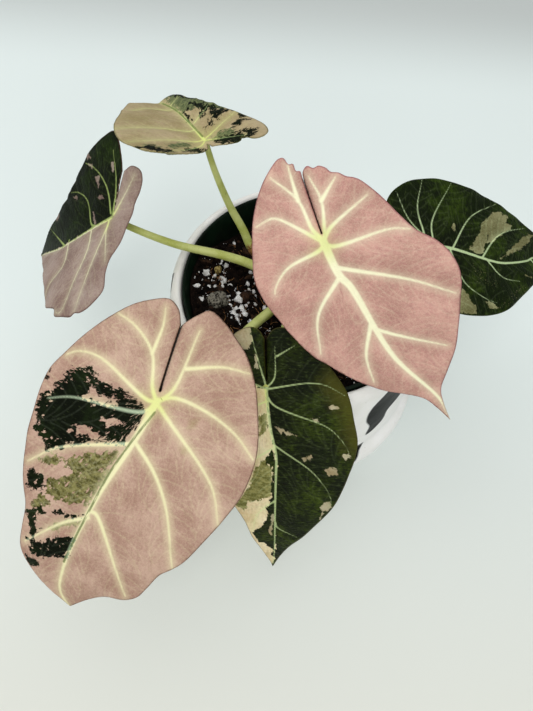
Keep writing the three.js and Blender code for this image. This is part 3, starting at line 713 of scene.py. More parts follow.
class Paint:
    """A material whose nodes are added by short calls, each of which returns a socket."""

    def __init__(self, name, roughness, gloss):
        self.material = bpy.data.materials.new(name)
        self.material.use_nodes = True
        self.tree = self.material.node_tree
        self.shader = self.tree.nodes["Principled BSDF"]
        self.shader.inputs["Roughness"].default_value = roughness
        self.shader.inputs["Specular IOR Level"].default_value = gloss

    def node(self, kind, settings, inputs):
        """The outputs of a new node, whose inputs are values or other nodes' outputs."""
        made = self.tree.nodes.new("ShaderNode" + kind)
        for key, value in settings.items():
            setattr(made, key, value)
        for key, value in inputs.items():
            if isinstance(value, bpy.types.NodeSocket):
                self.tree.links.new(value, made.inputs[key])
            else:
                made.inputs[key].default_value = value
        return made.outputs

    def attribute(self, name, kind="Fac"):
        return self.node("Attribute", {"attribute_name": name}, {})[kind]

    def place(self):
        """The object's own coordinates in mm."""
        raw = self.node("TexCoord", {}, {})["Object"]
        return self.node("VectorMath", {"operation": "SCALE"}, {0: raw, "Scale": 1 / MM})[0]

    def stretch(self, vector, factors):
        return self.node("VectorMath", {"operation": "MULTIPLY"}, {0: vector, 1: factors})[0]

    def length(self, vector):
        return self.node("VectorMath", {"operation": "LENGTH"}, {0: vector})["Value"]

    def noise(self, vector, scale, detail=3.0, roughness=0.55):
        inputs = {"Vector": vector, "Scale": scale, "Detail": detail, "Roughness": roughness}
        return self.node("TexNoise", {}, inputs)["Fac"]

    def cells(self, vector, scale, feature="F1"):
        return self.node("TexVoronoi", {"feature": feature}, {"Vector": vector, "Scale": scale})["Distance"]

    def math(self, operation, a, b):
        return self.node("Math", {"operation": operation}, {0: a, 1: b})[0]

    def sum(self, a, b):
        return self.math("ADD", a, b)

    def less(self, a, b):
        return self.math("SUBTRACT", a, b)

    def times(self, a, b):
        return self.math("MULTIPLY", a, b)

    def step(self, value, low, high):
        """0 below low and 1 above high, with a smooth rise. low may be the larger."""
        inputs = {"Value": value, "From Min": low, "From Max": high, "To Min": 0.0, "To Max": 1.0}
        return self.node("MapRange", {"interpolation_type": "SMOOTHSTEP"}, inputs)[0]

    def spots(self, vector, low, high, *form):
        """A step of noise of the form (scale, detail, roughness)."""
        return self.step(self.noise(vector, *form), low, high)

    def field(self, name, low, high):
        return self.step(self.attribute(name), low, high)

    def mix(self, share, a, b):
        a, b = (srgb(tone) if isinstance(tone, str) else tone for tone in (a, b))
        return self.node("Mix", {"data_type": "RGBA"}, {0: share, 6: a, 7: b})[2]

    def over(self, colour, tone, mask, strength):
        """A tone over a colour, where the mask is."""
        return self.mix(self.times(mask, strength), colour, tone)

    def finished(self, colour, height=None, strength=0, depth=0):
        """Take a colour, and a bump of a depth in mm, and return the material."""
        self.tree.links.new(colour, self.shader.inputs["Base Color"])
        if height is not None:
            inputs = {"Height": height, "Strength": strength, "Distance": depth * MM}
            self.tree.links.new(self.node("Bump", {}, inputs)["Normal"], self.shader.inputs["Normal"])
        return self.material


# Leaves.


class Blade:
    """The frame and surface of a blade: origin at the hub, y towards the tip, z out of the upper face."""

    def __init__(self, leaf):
        self.leaf = leaf
        self.hub = np.array(leaf["hub"], float)
        reach = np.array(leaf["tip"], float) - self.hub
        self.length = np.linalg.norm(reach)
        self.along_y = reach / self.length
        level = np.cross(self.along_y, UP)
        level /= np.linalg.norm(level)
        upward = np.cross(level, self.along_y)
        roll = math.radians(leaf["roll"])
        self.along_x = math.cos(roll) * level + math.sin(roll) * upward
        self.along_z = math.cos(roll) * upward - math.sin(roll) * level

    def height(self, x, y):
        leaf = self.leaf
        share = y / self.length
        slope, curl, lift = (np.where(x < 0, *leaf.get(key, (0, 0))) for key in ("slope", "curl", "lift"))
        droop_from, droop_by = leaf.get("droop", (0, 0))
        z = 4 * leaf["bow"] * share * (1 - share)
        z = z + slope * (np.sqrt(x * x + FOLD_ROUNDING**2) - FOLD_ROUNDING) + curl * (x / CURL_REACH) ** 2
        return z + lift * np.minimum(y, 0) ** 2 - droop_by * np.maximum(y - droop_from, 0) ** 2

    def surface(self, x, y, above):
        """Points of the surface, moved out of it by above."""
        x, y, above = np.broadcast_arrays(*(np.asarray(v, float) for v in (x, y, above)))
        step = 0.05
        slope_x = (self.height(x + step, y) - self.height(x - step, y)) / (2 * step)
        slope_y = (self.height(x, y + step) - self.height(x, y - step)) / (2 * step)
        away = above / np.sqrt(slope_x**2 + slope_y**2 + 1)
        local = (x - slope_x * away, y - slope_y * away, self.height(x, y) + away)
        axes = (self.along_x, self.along_y, self.along_z)
        return self.hub + sum(value[..., None] * axis for value, axis in zip(local, axes))


def blade_outline(leaf):
    """The whole margin: straight along the notch, then smooth round each lobe to the tip."""
    halves = []
    for side in ("right", "left"):
        notch = np.array(leaf.get("slit", leaf[side][0]), float)
        corner = np.array(leaf[side][1], float)
        steps = max(2, round(np.linalg.norm(corner - notch) / LEAF_SPACING))
        straight = np.linspace(notch, corner, steps, endpoint=False)
        halves.append(np.vstack([straight, smooth_line(leaf[side][1:], LEAF_SPACING)]))
    right, left = halves
    return np.vstack([right, left[::-1][1:-1]])


def blade_points(outline):
    """A honeycomb of points inside the outline, clear of it."""
    low, high = outline.min(0), outline.max(0)
    rows = np.arange(low[1], high[1], LEAF_SPACING * math.sqrt(3) / 2)
    columns = np.arange(low[0], high[0], LEAF_SPACING)
    grid = np.array([(x + (i % 2) * LEAF_SPACING / 2, y) for i, y in enumerate(rows) for x in columns])
    return grid[depth_inside(grid, outline) > 0.6 * LEAF_SPACING]


def split_corners(flat, faces, rim):
    """Put a point into every face whose corners all lie on the rim, so that its two sides stay apart."""
    split, middles = [], []
    for face in faces:
        if max(face) >= rim:
            split.append(tuple(face))
            continue
        middle = len(flat) + len(middles)
        middles.append(flat[list(face)].mean(0))
        split += [(a, b, middle) for a, b in zip(face, [*face[1:], face[0]])]
    return np.vstack([flat, *middles]), split


def side_veins(mains, outline, random):
    """Fine veins that leave the main ones at an angle, bend towards the margin and meet midway."""
    sampled = [smooth_line(line, 1.0) for line in mains]
    everything = np.vstack(sampled)
    owner = np.concatenate([np.full(len(line), i) for i, line in enumerate(sampled)])
    found = []
    drawn = np.full((1, 2), FAR)
    for own, line in enumerate(sampled):
        others = everything[owner != own]
        stop_at = np.vstack([others, outline[::2]])
        spots = np.arange(3.0, len(line) - 3, SIDE_VEIN_SPACING)
        for spot in spots + random.uniform(-0.5, 0.5, len(spots)):
            at = int(np.clip(spot, 1, len(line) - 2))
            ahead = math.atan2(*(line[at + 1] - line[at - 1])[::-1])
            for side in (-1, 1):
                angle = ahead + side * math.radians(SIDE_VEIN_ANGLE_DEG + random.uniform(-3, 3))
                bend = -side * math.radians(SIDE_VEIN_BEND_DEG + random.uniform(-0.5, 0.8))
                path = [line[at]]
                for _ in range(SIDE_VEIN_STEPS):
                    end = path[-1] + SIDE_VEIN_STEP * np.array([math.cos(angle), math.sin(angle)])
                    path.append(end)
                    angle += bend
                    if nearest(others, end) < nearest(line, end):
                        break
                    if min(nearest(stop_at, end), nearest(drawn, end)) < SIDE_VEIN_GAP:
                        break
                if len(path) > 3:
                    found.append(np.array(path))
                    drawn = np.vstack([drawn, found[-1][1:]])
    return found


def blade_fields(leaf, flat, outline, random):
    """What the blade's form and colour are made from, at each point: distances in mm."""
    near = np.full(len(flat), FAR)
    vein = np.full(len(flat), -FAR)
    for i, line in enumerate(leaf["veins"]):
        widths = leaf["vein_scale"] * np.array(VEIN_HALF_WIDTHS if i else MIDRIB_HALF_WIDTHS)
        distance, inside = line_distance(flat, smooth_line(line, VEIN_SPACING), widths)
        near = np.minimum(near, distance)
        vein = np.maximum(vein, inside)
    fine, slit, core = (np.full(len(flat), FIELD_CAP) for _ in range(3))
    for path in side_veins(leaf["veins"], outline, random):
        box = (flat > path.min(0) - 2).all(1) & (flat < path.max(0) + 2).all(1)
        fine[box] = np.minimum(fine[box], line_distance(flat[box], path)[0])
    if "slit" in leaf:
        slit = line_distance(flat, np.array([leaf["slit"], leaf["left"][1]], float))[0]
    if "core" in leaf:
        core = line_distance(flat, smooth_line(leaf["core"], VEIN_SPACING))[0]
    margin = depth_inside(flat, outline)
    fields = {"near": near, "vein": vein, "fine": fine, "margin": margin, "slit": slit, "core": core}
    for kind in ("dark", "olive", "pale", "speckle", "tint"):
        depth = np.full(len(flat), -FIELD_CAP)
        for loop in leaf.get("patches", {}).get(kind, []):
            depth = np.maximum(depth, depth_inside(flat, loop))
        fields[kind] = np.minimum(depth, FIELD_CAP)
    return fields


def blade_relief(flat, fields, random):
    """Height of the quilted surface between the veins, and waves near the margin."""
    puff = PUFF_HEIGHT * (1 - np.exp(-((fields["near"] / PUFF_REACH) ** 1.6)))
    puff *= smoothstep(-1, PUFF_MARGIN, fields["margin"])
    groove = GROOVE_DEPTH * bell(fields["fine"], GROOVE_WIDTH)
    phase = random.uniform(0, 6, 3)
    angle = np.arctan2(flat[:, 0], flat[:, 1] - 20)
    wave = sum(share * np.sin(turns * angle + start) for (share, turns), start in zip(RIPPLE_WAVES, phase))
    ripple = RIPPLE * wave * np.exp(-fields["margin"] / RIPPLE_REACH)
    return puff - groove + ripple - SLIT_DROP * bell(fields["slit"], SLIT_REACH)


def tuck_notch(leaf, flat, relief):
    """Slide the left lobe's edge a little under the right one's, so that no light passes between them."""
    if "slit" not in leaf:
        return flat, relief
    start = np.array(leaf["slit"], float)
    reach = (np.array(leaf["left"][1], float) + leaf["right"][1]) / 2 - start
    length = np.hypot(*reach)
    ahead = reach / length
    across = np.array([-ahead[1], ahead[0]])
    along = (flat - start) @ ahead
    aside = (flat - start) @ across
    share = smoothstep(0.3, 3.5, along) * smoothstep(length + 2, length - 1, along)
    share = np.where(aside < 0, share * bell(aside, TUCK_REACH), 0)
    return flat + TUCK_SLIDE * share[:, None] * across, relief - TUCK_DROP * share


def blade(leaf, material, seed):
    """A leaf blade: an upper and a lower surface that share the rim's points, which come first."""
    random = np.random.default_rng(seed)
    shape = Blade(leaf)
    outline = blade_outline(leaf)
    flat = np.vstack([outline, blade_points(outline)])
    rim = len(outline)
    faces = delaunay_2d_cdt([Vector(point) for point in flat], [], [list(range(rim))], 1, 1e-6)[2]
    flat, faces = split_corners(flat, faces, rim)
    below = len(flat) - rim
    fields = blade_fields(leaf, flat, outline, random)
    relief = blade_relief(flat, fields, random)
    round_edge = np.sqrt(1 - (1 - np.clip(fields["margin"] / ROUNDED_EDGE, 0, 1)) ** 2)
    half = BLADE_HALF_THICKNESS * round_edge
    rib = RIB_DEPTH * smoothstep(*RIB_EDGES, fields["vein"]) * round_edge
    moved, relief = tuck_notch(leaf, flat, relief)
    upper = shape.surface(moved[:, 0], moved[:, 1], relief + half)
    lower = shape.surface(moved[rim:, 0], moved[rim:, 1], (relief - half - rib)[rim:])
    faces += [tuple(i if i < rim else i + below for i in reversed(face)) for face in faces]
    stored = {key: np.concatenate([value, value[rim:]]) for key, value in fields.items() if key != "near"}
    stored["slit"] = stored["slit"] / leaf.get("slit_width", 1)
    stored["under"] = np.concatenate([np.zeros(len(flat)), np.ones(below)])
    x, y = np.vstack([flat, flat[rim:]]).T
    layer = UNDERSIDE_SHIFT * stored["under"]
    stored["flat"] = np.column_stack([x, y, layer])
    stored["flow"] = np.column_stack([np.arctan2(x, y) * FLOW_TURN, np.hypot(x, y) * FLOW_REACH, layer])
    node = "blade_" + leaf["name"]
    points = np.vstack([upper, lower])
    piece("leaf_" + leaf["name"], points, faces, material, [node], frame_slots[node], stored)


def velvet(kind):
    """Leaf skin: pale flesh, dark and olive patches, pale veins, a thin margin and a paler underside."""
    look = LEAF_LOOKS[kind]
    paint = Paint("velvet_" + kind, look["rough"], look["gloss"])
    flat = paint.attribute("flat", "Vector")
    flow = paint.attribute("flow", "Vector")
    vein = paint.attribute("vein")
    tint = paint.attribute("tint")
    from_hub = paint.length(flat)

    # Pale flesh.
    mottle = paint.noise(flat, 0.9, 5, 0.65)
    fibre = paint.noise(paint.stretch(flow, (1.0, 0.45, 1.0)), 1.5, 4, 0.6)
    tone = paint.sum(paint.noise(flat, 0.07, 2), paint.times(mottle, 0.5))
    light = paint.mix(paint.step(tone, 0.55, 0.95), *look["light"])
    light = paint.over(light, look["margin"], paint.step(fibre, 0.45, 0.75), 0.3)
    light = paint.over(light, look["vein"], paint.spots(flat, 0.45, 0.7, 2.4), 0.1)
    light = paint.over(light, STAIN, paint.step(tint, -1.8, 0.8), 0.4)

    # Where the patches are: their outlines stray and have holes.
    stray = paint.less(paint.noise(flat, 0.5, 5, 0.6), 0.5)
    torn = paint.less(paint.noise(flow, 0.9, 6, 0.66), 0.5)
    wobble = paint.times(paint.sum(stray, torn), 4.5 * look["edge"])
    holes = paint.times(paint.spots(flow, 0.57, 0.63, 1.2, 4, 0.6), 3.6 * look["holes"])
    pinholes = paint.times(paint.spots(flat, 0.6, 0.64, 2.0, 3, 0.7), 1.1 * look["holes"])
    holes = paint.sum(holes, pinholes)
    dark_mask = paint.step(paint.less(paint.sum(paint.attribute("dark"), wobble), holes), -0.12, 0.12)
    olive_mask = paint.step(paint.less(paint.sum(paint.attribute("olive"), wobble), holes), -0.15, 0.25)
    pale_stray = paint.times(wobble, 0.7 + 0.55 * look["holes"])
    isles = paint.step(paint.sum(paint.attribute("pale"), pale_stray), -0.15, 0.15)
    speckled = paint.times(paint.field("speckle", -1.0, 1.5), paint.spots(flat, 0.6, 0.66, 1.3, 3, 0.7))
    isles = paint.times(paint.math("MAXIMUM", isles, speckled), look["isles"])
    dark_mask = paint.times(dark_mask, paint.less(1.0, isles))

    # Dark and olive flesh.
    tone = paint.sum(paint.noise(flat, 0.06, 3), paint.times(paint.noise(flat, 0.4, 4, 0.65), 0.5))
    dark = paint.mix(paint.step(tone, 0.66, 1.0), *look["dark"])
    dark = paint.over(dark, DARK_AT_HUB, paint.step(from_hub, 30.0, 6.0), 0.6)
    pucker = paint.noise(paint.stretch(flat, (0.4, 1.4, 1.0)), 1.1, 3, 0.6)
    # Painted shade in the creases of the puckered dark flesh, and a painted highlight on its ridges.
    dark = paint.over(dark, CREASE_SHADE, paint.step(pucker, 0.52, 0.36), look["crease"])
    dark = paint.over(dark, CREASE_HIGHLIGHT, paint.step(pucker, 0.57, 0.72), 0.35 * look["crease"])
    streaks = paint.noise(paint.stretch(flow, (0.5, 2.2, 1.0)), 1.1, 4, 0.65)
    olive = paint.mix(paint.step(streaks, 0.4, 0.62), *look["olive"])

    # Veins, thin lines and the margin over all of it.
    pale_vein = paint.over(look["vein"], HUB_VEIN, paint.step(from_hub, 10.0, 1.5), 0.6)
    colour = paint.mix(olive_mask, light, olive)
    colour = paint.over(colour, pale_vein, paint.step(vein, -2.8, 0.2), look["halo"])
    net = paint.step(paint.cells(flat, 0.75, "DISTANCE_TO_EDGE"), 0.09, 0.01)
    colour = paint.over(colour, pale_vein, net, 0.1)
    fine = paint.times(paint.field("fine", 0.5, 0.05), paint.step(mottle, 0.25, 0.5))
    colour = paint.over(colour, pale_vein, fine, look["fine"])
    dark = paint.over(dark, look["dark_vein"], fine, 0.035)
    dark = paint.over(dark, DARK_STAIN, paint.step(paint.sum(tint, wobble), -6.0, 4.0), 0.6)
    colour = paint.mix(dark_mask, colour, dark)
    vein_colour = paint.mix(dark_mask, pale_vein, look["dark_vein"])
    colour = paint.mix(paint.step(vein, -look["soft"], look["soft"]), colour, vein_colour)
    core = paint.times(paint.field("core", 0.6, 0.2), paint.step(fibre, 0.3, 0.5))
    colour = paint.over(colour, MIDRIB_CORE, core, 0.8)
    colour = paint.over(colour, look["margin"], paint.field("margin", 0.6, 0.1), 0.5)
    # Painted shadow: a near-black line along the slit of the notch.
    colour = paint.over(colour, SLIT_SHADE, paint.field("slit", 1.15, 0.55), 0.95)
    colour = paint.mix(paint.attribute("under"), colour, paint.mix(0.45, colour, UNDERSIDE))
    pores = paint.cells(flat, 1.1, "DISTANCE_TO_EDGE")
    grain = paint.sum(paint.noise(flat, 3.0, 3), paint.times(pores, 0.7))
    crease = paint.times(paint.times(pucker, 5.0 * look["crease"]), dark_mask)
    return paint.finished(colour, paint.sum(grain, crease), 0.6, 0.3)


# Stalks.


def stalk(leaf, material):
    """The stalk from inside the crown to the underside of the blade, a little wider where they meet."""
    start_angle = leaf["stalk"]["from"]
    circle = 0 if start_angle is None else STALK_CIRCLE
    angle = math.radians(start_angle or 0)
    x = CROWN_CENTRE[0] + circle * math.cos(angle)
    y = CROWN_CENTRE[1] + circle * math.sin(angle)
    start = np.array([x, y, CROWN_SHOULDER + 0.3])
    end = Blade(leaf).surface(0.0, 0.0, -BLADE_HALF_THICKNESS - 0.35)
    line = smooth_line([start, start + (0, 0, 2.5), *leaf["stalk"]["route"], end], STALK_SPACING)
    line = np.vstack([start - (0, 0, 4), line])
    along = along_line(line)
    radii = STALK_BASE_RADIUS + (leaf["stalk"]["tip_radius"] - STALK_BASE_RADIUS) * along / along[-1]
    radii = radii * (1 + STALK_FLARE * np.exp(-(along[-1] - along) / STALK_FLARE_REACH))
    turns = 2 * np.pi * np.arange(STALK_SIDES) / STALK_SIDES
    ridge = 1 + STALK_RIDGE_DEPTH * np.cos(STALK_RIDGES * turns)
    points, faces = tube(line, radii[:, None] * ridge, STALK_SIDES)
    reached = np.concatenate([np.repeat(along, STALK_SIDES), along[:1], along[-1:]])
    stored = {"husk": leaf["stalk"].get("husk", STALK_HUSK) - reached}
    name = leaf["name"]
    piece("petiole_" + name, points, faces, material, ["stalk_" + name], "stalk", stored)


def stalk_skin():
    paint = Paint("stalk_skin", 0.42, 0.3)
    place = paint.place()
    colour = paint.mix(paint.spots(place, 0.35, 0.65, 0.12, 4, 0.6), "A9B056", "C3C97E")
    colour = paint.over(colour, "DADCAE", paint.spots(place, 0.58, 0.68, 3.0, 2, 0.5), 0.35)
    along = paint.stretch(place, (1.0, 1.0, 0.3))
    husk = paint.mix(paint.spots(along, 0.4, 0.6, 1.2, 3), "6A4A2C", "9C7140")
    edge = paint.times(paint.less(paint.noise(place, 0.8, 3), 0.5), 12.0)
    colour = paint.mix(paint.step(paint.sum(paint.attribute("husk"), edge), -1.0, 1.5), colour, husk)
    colour = paint.over(colour, "4A4A20", paint.spots(place, 0.74, 0.77, 1.1, 2, 0.5), 0.6)
    return paint.finished(colour, paint.noise(place, 1.5, 3), 0.25, 0.15)


# Crown and soil.


def soil_height(x, y):
    """The soil's height at a place: low swells, and a bank at the left."""
    swell = np.sin(x / 9 + 1) * np.cos(y / 11 - 0.4) + 0.5 * np.sin(x / 4.3 - y / 5.1)
    towards = np.cos(np.arctan2(y, x) - math.radians(SOIL_BANK_DEGREES))
    bank = smoothstep(0.4, 0.8, towards) * smoothstep(SOIL_BANK_FROM, SOIL_BANK_TO, np.hypot(x, y))
    return SOIL_TOP + SOIL_SWELL * swell / 1.5 + SOIL_BANK * bank


def nursery_outside(z):
    """The outer radius of the nursery pot's wall at a height."""
    lip_bottom = NURSERY_RIM_TOP - NURSERY_LIP_HEIGHT
    share = (z - NURSERY_BOTTOM) / (lip_bottom - NURSERY_BOTTOM)
    return NURSERY_FOOT_RADIUS + share * (NURSERY_RIM_RADIUS - NURSERY_LIP_WIDTH - NURSERY_FOOT_RADIUS)


def nursery_inside(z):
    """How far the soil reaches at a height."""
    return nursery_outside(z) - NURSERY_WALL - 0.1


def crown():
    profile = [
        (0, CROWN_BOTTOM), (5, CROWN_BOTTOM), (7.5, 57), (8.9, 60), (9.2, 63), (8.6, 65.2), (7.2, 66.6),
        (5, 67.4), (2.5, 67.8), (0, 68),
    ]
    points, faces = lathe(smooth_line(profile, 0.7), 72)
    angle = np.arctan2(points[:, 1], points[:, 0])
    radius = np.hypot(points[:, 0], points[:, 1])
    ridges = 0.5 * np.sin(6 * angle + 0.4 * points[:, 2]) + 0.3 * np.sin(13 * angle - points[:, 2])
    points[:, :2] *= (1 + 0.08 * ridges * smoothstep(1, 6, radius) - 0.06)[:, None]
    points[:, :2] += CROWN_CENTRE
    paint = Paint("crown_skin", 0.8, 0.3)
    fibre = paint.noise(paint.stretch(paint.place(), (1.0, 1.0, 0.25)), 1.4, 5, 0.65)
    bark = paint.finished(paint.mix(paint.step(fibre, 0.35, 0.7), "3B2A1C", "8A6B44"), fibre, 0.6, 0.4)
    piece("crown_corm", points, faces, bark, ["crown"], "crown")


def soil_bed(material):
    """The soil's rough surface, and its plain sides down inside the nursery pot."""
    rings, segments = ((72, 230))
    reach = nursery_inside(SOIL_TOP)
    floor = NURSERY_BOTTOM + NURSERY_WALL + 0.3
    profile = [(0, floor), (nursery_outside(floor) - NURSERY_WALL - 0.3, floor)]
    profile += [(reach * share, SOIL_TOP) for share in np.linspace(1, 0, rings)]
    points, faces = lathe(profile, segments)
    on_top = points[:, 2] > SOIL_TOP - 1
    x, y = points[on_top, :2].T
    rough = np.array([noise.fractal(Vector((a / 3.2, b / 3.2, 1.7)), 0.9, 2.1, 5) for a, b in zip(x, y)])
    height = soil_height(x, y)
    points[on_top, 2] = height + SOIL_ROUGHNESS * rough
    points[on_top, :2] *= (nursery_inside(height) / reach)[:, None]
    piece("soil_bed", points, faces, material, ["soil"], "soil")


def round_template(level):
    """Points and faces of a ball of radius 1."""
    shape = bmesh.new()
    bmesh.ops.create_icosphere(shape, subdivisions=level, radius=1)
    points = np.array([v.co for v in shape.verts])
    faces = [tuple(v.index for v in face.verts) for face in shape.faces]
    shape.free()
    return points, faces


def grains(name, material, random, count, sizes, level, stretch, bumps, spot=None, sunk=0.3):
    """Irregular grains on the soil. sizes is the smallest and the largest radius in mm, stretch and bumps say
    how uneven they are, spot is a place and how widely they lie round it, and sunk is how deep they lie."""
    template, faces = round_template(level)
    reach = nursery_outside(SOIL_TOP) - NURSERY_WALL - 1
    shapes = []
    while len(shapes) < count:
        size = sizes[0] + (sizes[1] - sizes[0]) * random.random() ** 2.2
        if spot is None:
            angle = random.uniform(0, 2 * math.pi)
            distance = (reach - size) * math.sqrt(random.random())
            x, y = distance * math.cos(angle), distance * math.sin(angle)
        else:
            x, y = random.normal(spot[:2], spot[2])
        on_crown = math.hypot(x - CROWN_CENTRE[0], y - CROWN_CENTRE[1]) < CROWN_RADIUS - 0.5
        if on_crown or math.hypot(x, y) > reach - 0.3 * size:
            continue
        shift = random.uniform(0, 50, 3)
        lumps = np.array([noise.noise(Vector(p * 1.3 + shift)) for p in template])
        grain = template * (1 + bumps * lumps)[:, None]
        grain = grain * (1 + stretch * random.uniform(-1, 1, 3)) * size
        turn = np.array(Matrix.Rotation(random.uniform(0, 6.3), 3, Vector(random.normal(size=3))))
        z = float(soil_height(x, y)) + size * (1 - 2 * sunk)
        widen = nursery_inside(z) / nursery_inside(SOIL_TOP)
        shapes.append((grain @ turn.T + (x * widen, y * widen, z), faces))
    piece(name, *joined(shapes), material, slot="soil")


def soil_fibres(random, count):
    """Thin curled root and husk fibres that lie on the soil."""
    reach = nursery_inside(SOIL_TOP) - 6
    shapes = []
    for _ in range(count):
        angle, heading = random.uniform(0, 2 * math.pi, 2)
        distance = reach * math.sqrt(random.random())
        x, y = distance * math.cos(angle), distance * math.sin(angle)
        bend = random.uniform(-FIBRE_BEND, FIBRE_BEND)
        path = []
        for _ in range(FIBRE_STEPS):
            path.append((x, y, float(soil_height(x, y)) + random.uniform(*FIBRE_HEIGHTS)))
            x, y = x + FIBRE_STEP * math.cos(heading), y + FIBRE_STEP * math.sin(heading)
            heading += bend
        line = smooth_line(path, 0.6)
        shapes.append(tube(line, np.full(len(line), random.uniform(*FIBRE_RADII)), 5))
    paint = Paint("husk_fibre", 0.8, 0.2)
    husk = paint.finished(paint.mix(paint.spots(paint.place(), 0.4, 0.6, 0.4, 3), "4A2A18", "A0754A"))
    piece("soil_fibres", *joined(shapes), husk, slot="soil")


def earth():
    paint = Paint("soil_mix", 0.95, 0.1)
    place = paint.place()
    colour = paint.mix(paint.spots(place, 0.35, 0.72, 0.35, 5, 0.7), "070403", "1E130D")
    colour = paint.over(colour, "5A4535", paint.spots(place, 0.66, 0.72, 1.8, 2, 0.6), 0.6)
    return paint.finished(colour, paint.noise(place, 2.5, 5, 0.7), 0.8, 0.5)


def perlite():
    paint = Paint("perlite", 0.9, 0.3)
    place = paint.place()
    colour = paint.mix(paint.step(paint.cells(place, 1.6), 0.12, 0.4), "B8B3A8", "FFFFFF")
    colour = paint.over(colour, "8A8074", paint.spots(place, 0.42, 0.62, 0.5, 5, 0.7), 0.35)
    return paint.finished(colour, paint.cells(place, 1.8), 0.9, 0.5)


def mottled(name, roughness, gloss, form, edges, tones, strength, depth):
    """Two tones by noise of a form, which is its bump too."""
    paint = Paint(name, roughness, gloss)
    patchy = paint.noise(paint.place(), *form)
    return paint.finished(paint.mix(paint.step(patchy, *edges), *tones), patchy, strength, depth)


def soil():
    """The soil bed and all that lies on it."""
    random = np.random.default_rng(7)
    amount = 1
    ground = earth()
    soil_bed(ground)
    bark = mottled("bark", 0.9, 0.2, (0.9, 5, 0.7), (0.35, 0.7), ("1A100A", "4C3322"), 0.8, 0.5)
    grains("soil_crumbs", ground, random, round(1500 * amount), (0.5, 1.9), 1, 0.35, 0.5)
    grains("bark_chips", bark, random, round(230 * amount), (0.8, 2.4), 1, 0.75, 0.4)
    soil_fibres(random, round(260 * amount))
    white = perlite()
    grains("perlite_grains", white, random, round(210 * amount), (0.25, 1.2), 2, 0.4, 0.85)
    grains("perlite_cluster", white, random, round(80 * amount), (0.3, 1.75), 2, 0.4, 0.85, CLUSTER_PLACE)
    grains("perlite_specks", white, random, round(900 * amount), (0.1, 0.38), 1, 0.4, 0.6)
    stone = ((0.8, 5, 0.75), (0.42, 0.58))
    grey = mottled("mottled_lump", 0.95, 0.1, *stone, ("1B1612", "8C877B"), 0.9, 0.8)
    grains("pumice_lump", grey, random, 1, (4.3, 4.3), 4, 0.15, 0.45, LUMP_PLACE, sunk=0.4)
    yellow = mottled("yellow_grain", 0.95, 0.1, *stone, ("6B5A33", "B8A56A"), 0.9, 0.8)
    grains("yellow_grain", yellow, random, 1, (1.9, 1.9), 3, 0.3, 0.5, YELLOW_GRAIN_PLACE)


# Pots.


def cover_pot():
    """The glazed pot, whose patches stand a little out of the glaze along their edges."""
    foot, wall, rim = COVER_FOOT_RADIUS, COVER_WALL_RADIUS, COVER_RIM_RADIUS
    bore, mouth, top = COVER_BORE_RADIUS, COVER_MOUTH_RADIUS, COVER_TOP
    outside = [
        (foot - 5, 0), (foot - 1.8, 0.9), (foot - 0.3, 2.8), (foot, 5), (foot - 0.5, 7.6),
        (foot - 1.9, 9.8), (foot - 3.7, 11.4), (wall, 14), (wall + 0.1, 20), (wall - 0.1, 30),
        (wall - 0.8, 45), (rim + 0.3, 60), (rim, 72), (rim - 0.4, 74.6), (rim - 1.4, top - 1),
        (rim - 2.9, top), (mouth + 0.9, top - 0.2), (mouth, top - 1.6), (mouth, 68), (bore, 45),
        (bore, 16), (bore - 1.6, COVER_FLOOR + 4), (bore - 6, COVER_FLOOR),
    ]
    spacing, segments = ((1.1, 240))
    profile = smooth_line(outside, spacing)
    profile[:, 1] = np.maximum(profile[:, 1], 0)
    inner = [(r, 0) for r in np.linspace(0, foot - 6, 8)]
    base = [(r, COVER_FLOOR) for r in np.linspace(bore - 7, 0, 8)]
    points, faces = lathe([*inner, *profile, *base], segments)
    x, y, z = points.T
    radius = np.hypot(x, y)
    outer = (radius > mouth + 2) | (z < 1)
    depth = np.where(outer, patch_depth(np.arctan2(y, x) * wall, z), -FIELD_CAP)
    raised = PATCH_RAISE * bell(depth, PATCH_EDGE) * outer * (z > 2)
    points[:, :2] += points[:, :2] / np.maximum(radius, 1)[:, None] * raised[:, None]
    piece("cover_pot_glazed", points, faces, glaze(), ["cover_pot"], "cover_pot", {"patch": depth})


def patch_depth(arc, height):
    """How far each point of the wall lies inside a glazed patch, in mm."""
    depth = np.full(len(arc), -FIELD_CAP)
    around = 2 * math.pi * COVER_WALL_RADIUS
    for angle, level, size, turn, which in PATCHES:
        across = arc - math.radians(angle) * COVER_WALL_RADIUS
        across = (across + around / 2) % around - around / 2
        c, s = math.cos(math.radians(turn)), math.sin(math.radians(turn))
        local = np.column_stack([across, height - level]) / size @ np.array([[c, -s], [s, c]])
        loop = PATCH_OUTLINES[which]
        rounded = smooth_line([*loop, loop[0]], 1.0)[:-1]
        near = (np.abs(local) < PATCH_REACH).all(1)
        depth[near] = np.maximum(depth[near], depth_inside(local[near], rounded) * size)
    return np.maximum(depth, -FIELD_CAP)


def glaze():
    paint = Paint("glaze", 0.3, 0.02)
    place = paint.place()
    waves = paint.noise(place, 0.12, 3)
    white = paint.mix(paint.step(waves, 0.3, 0.7), "F6F5F1", "FDFCFA")
    white = paint.over(white, "A8A49C", paint.spots(place, 0.74, 0.77, 0.8, 2, 0.5), 0.35)
    black = paint.mix(paint.spots(place, 0.4, 0.7, 0.5, 4), "050505", "101112")
    soft = paint.mix(paint.field("patch", -0.9, -0.1), white, "9A9A98")
    return paint.finished(paint.mix(paint.field("patch", -0.25, 0.15), soft, black), waves, 0.25, 0.8)


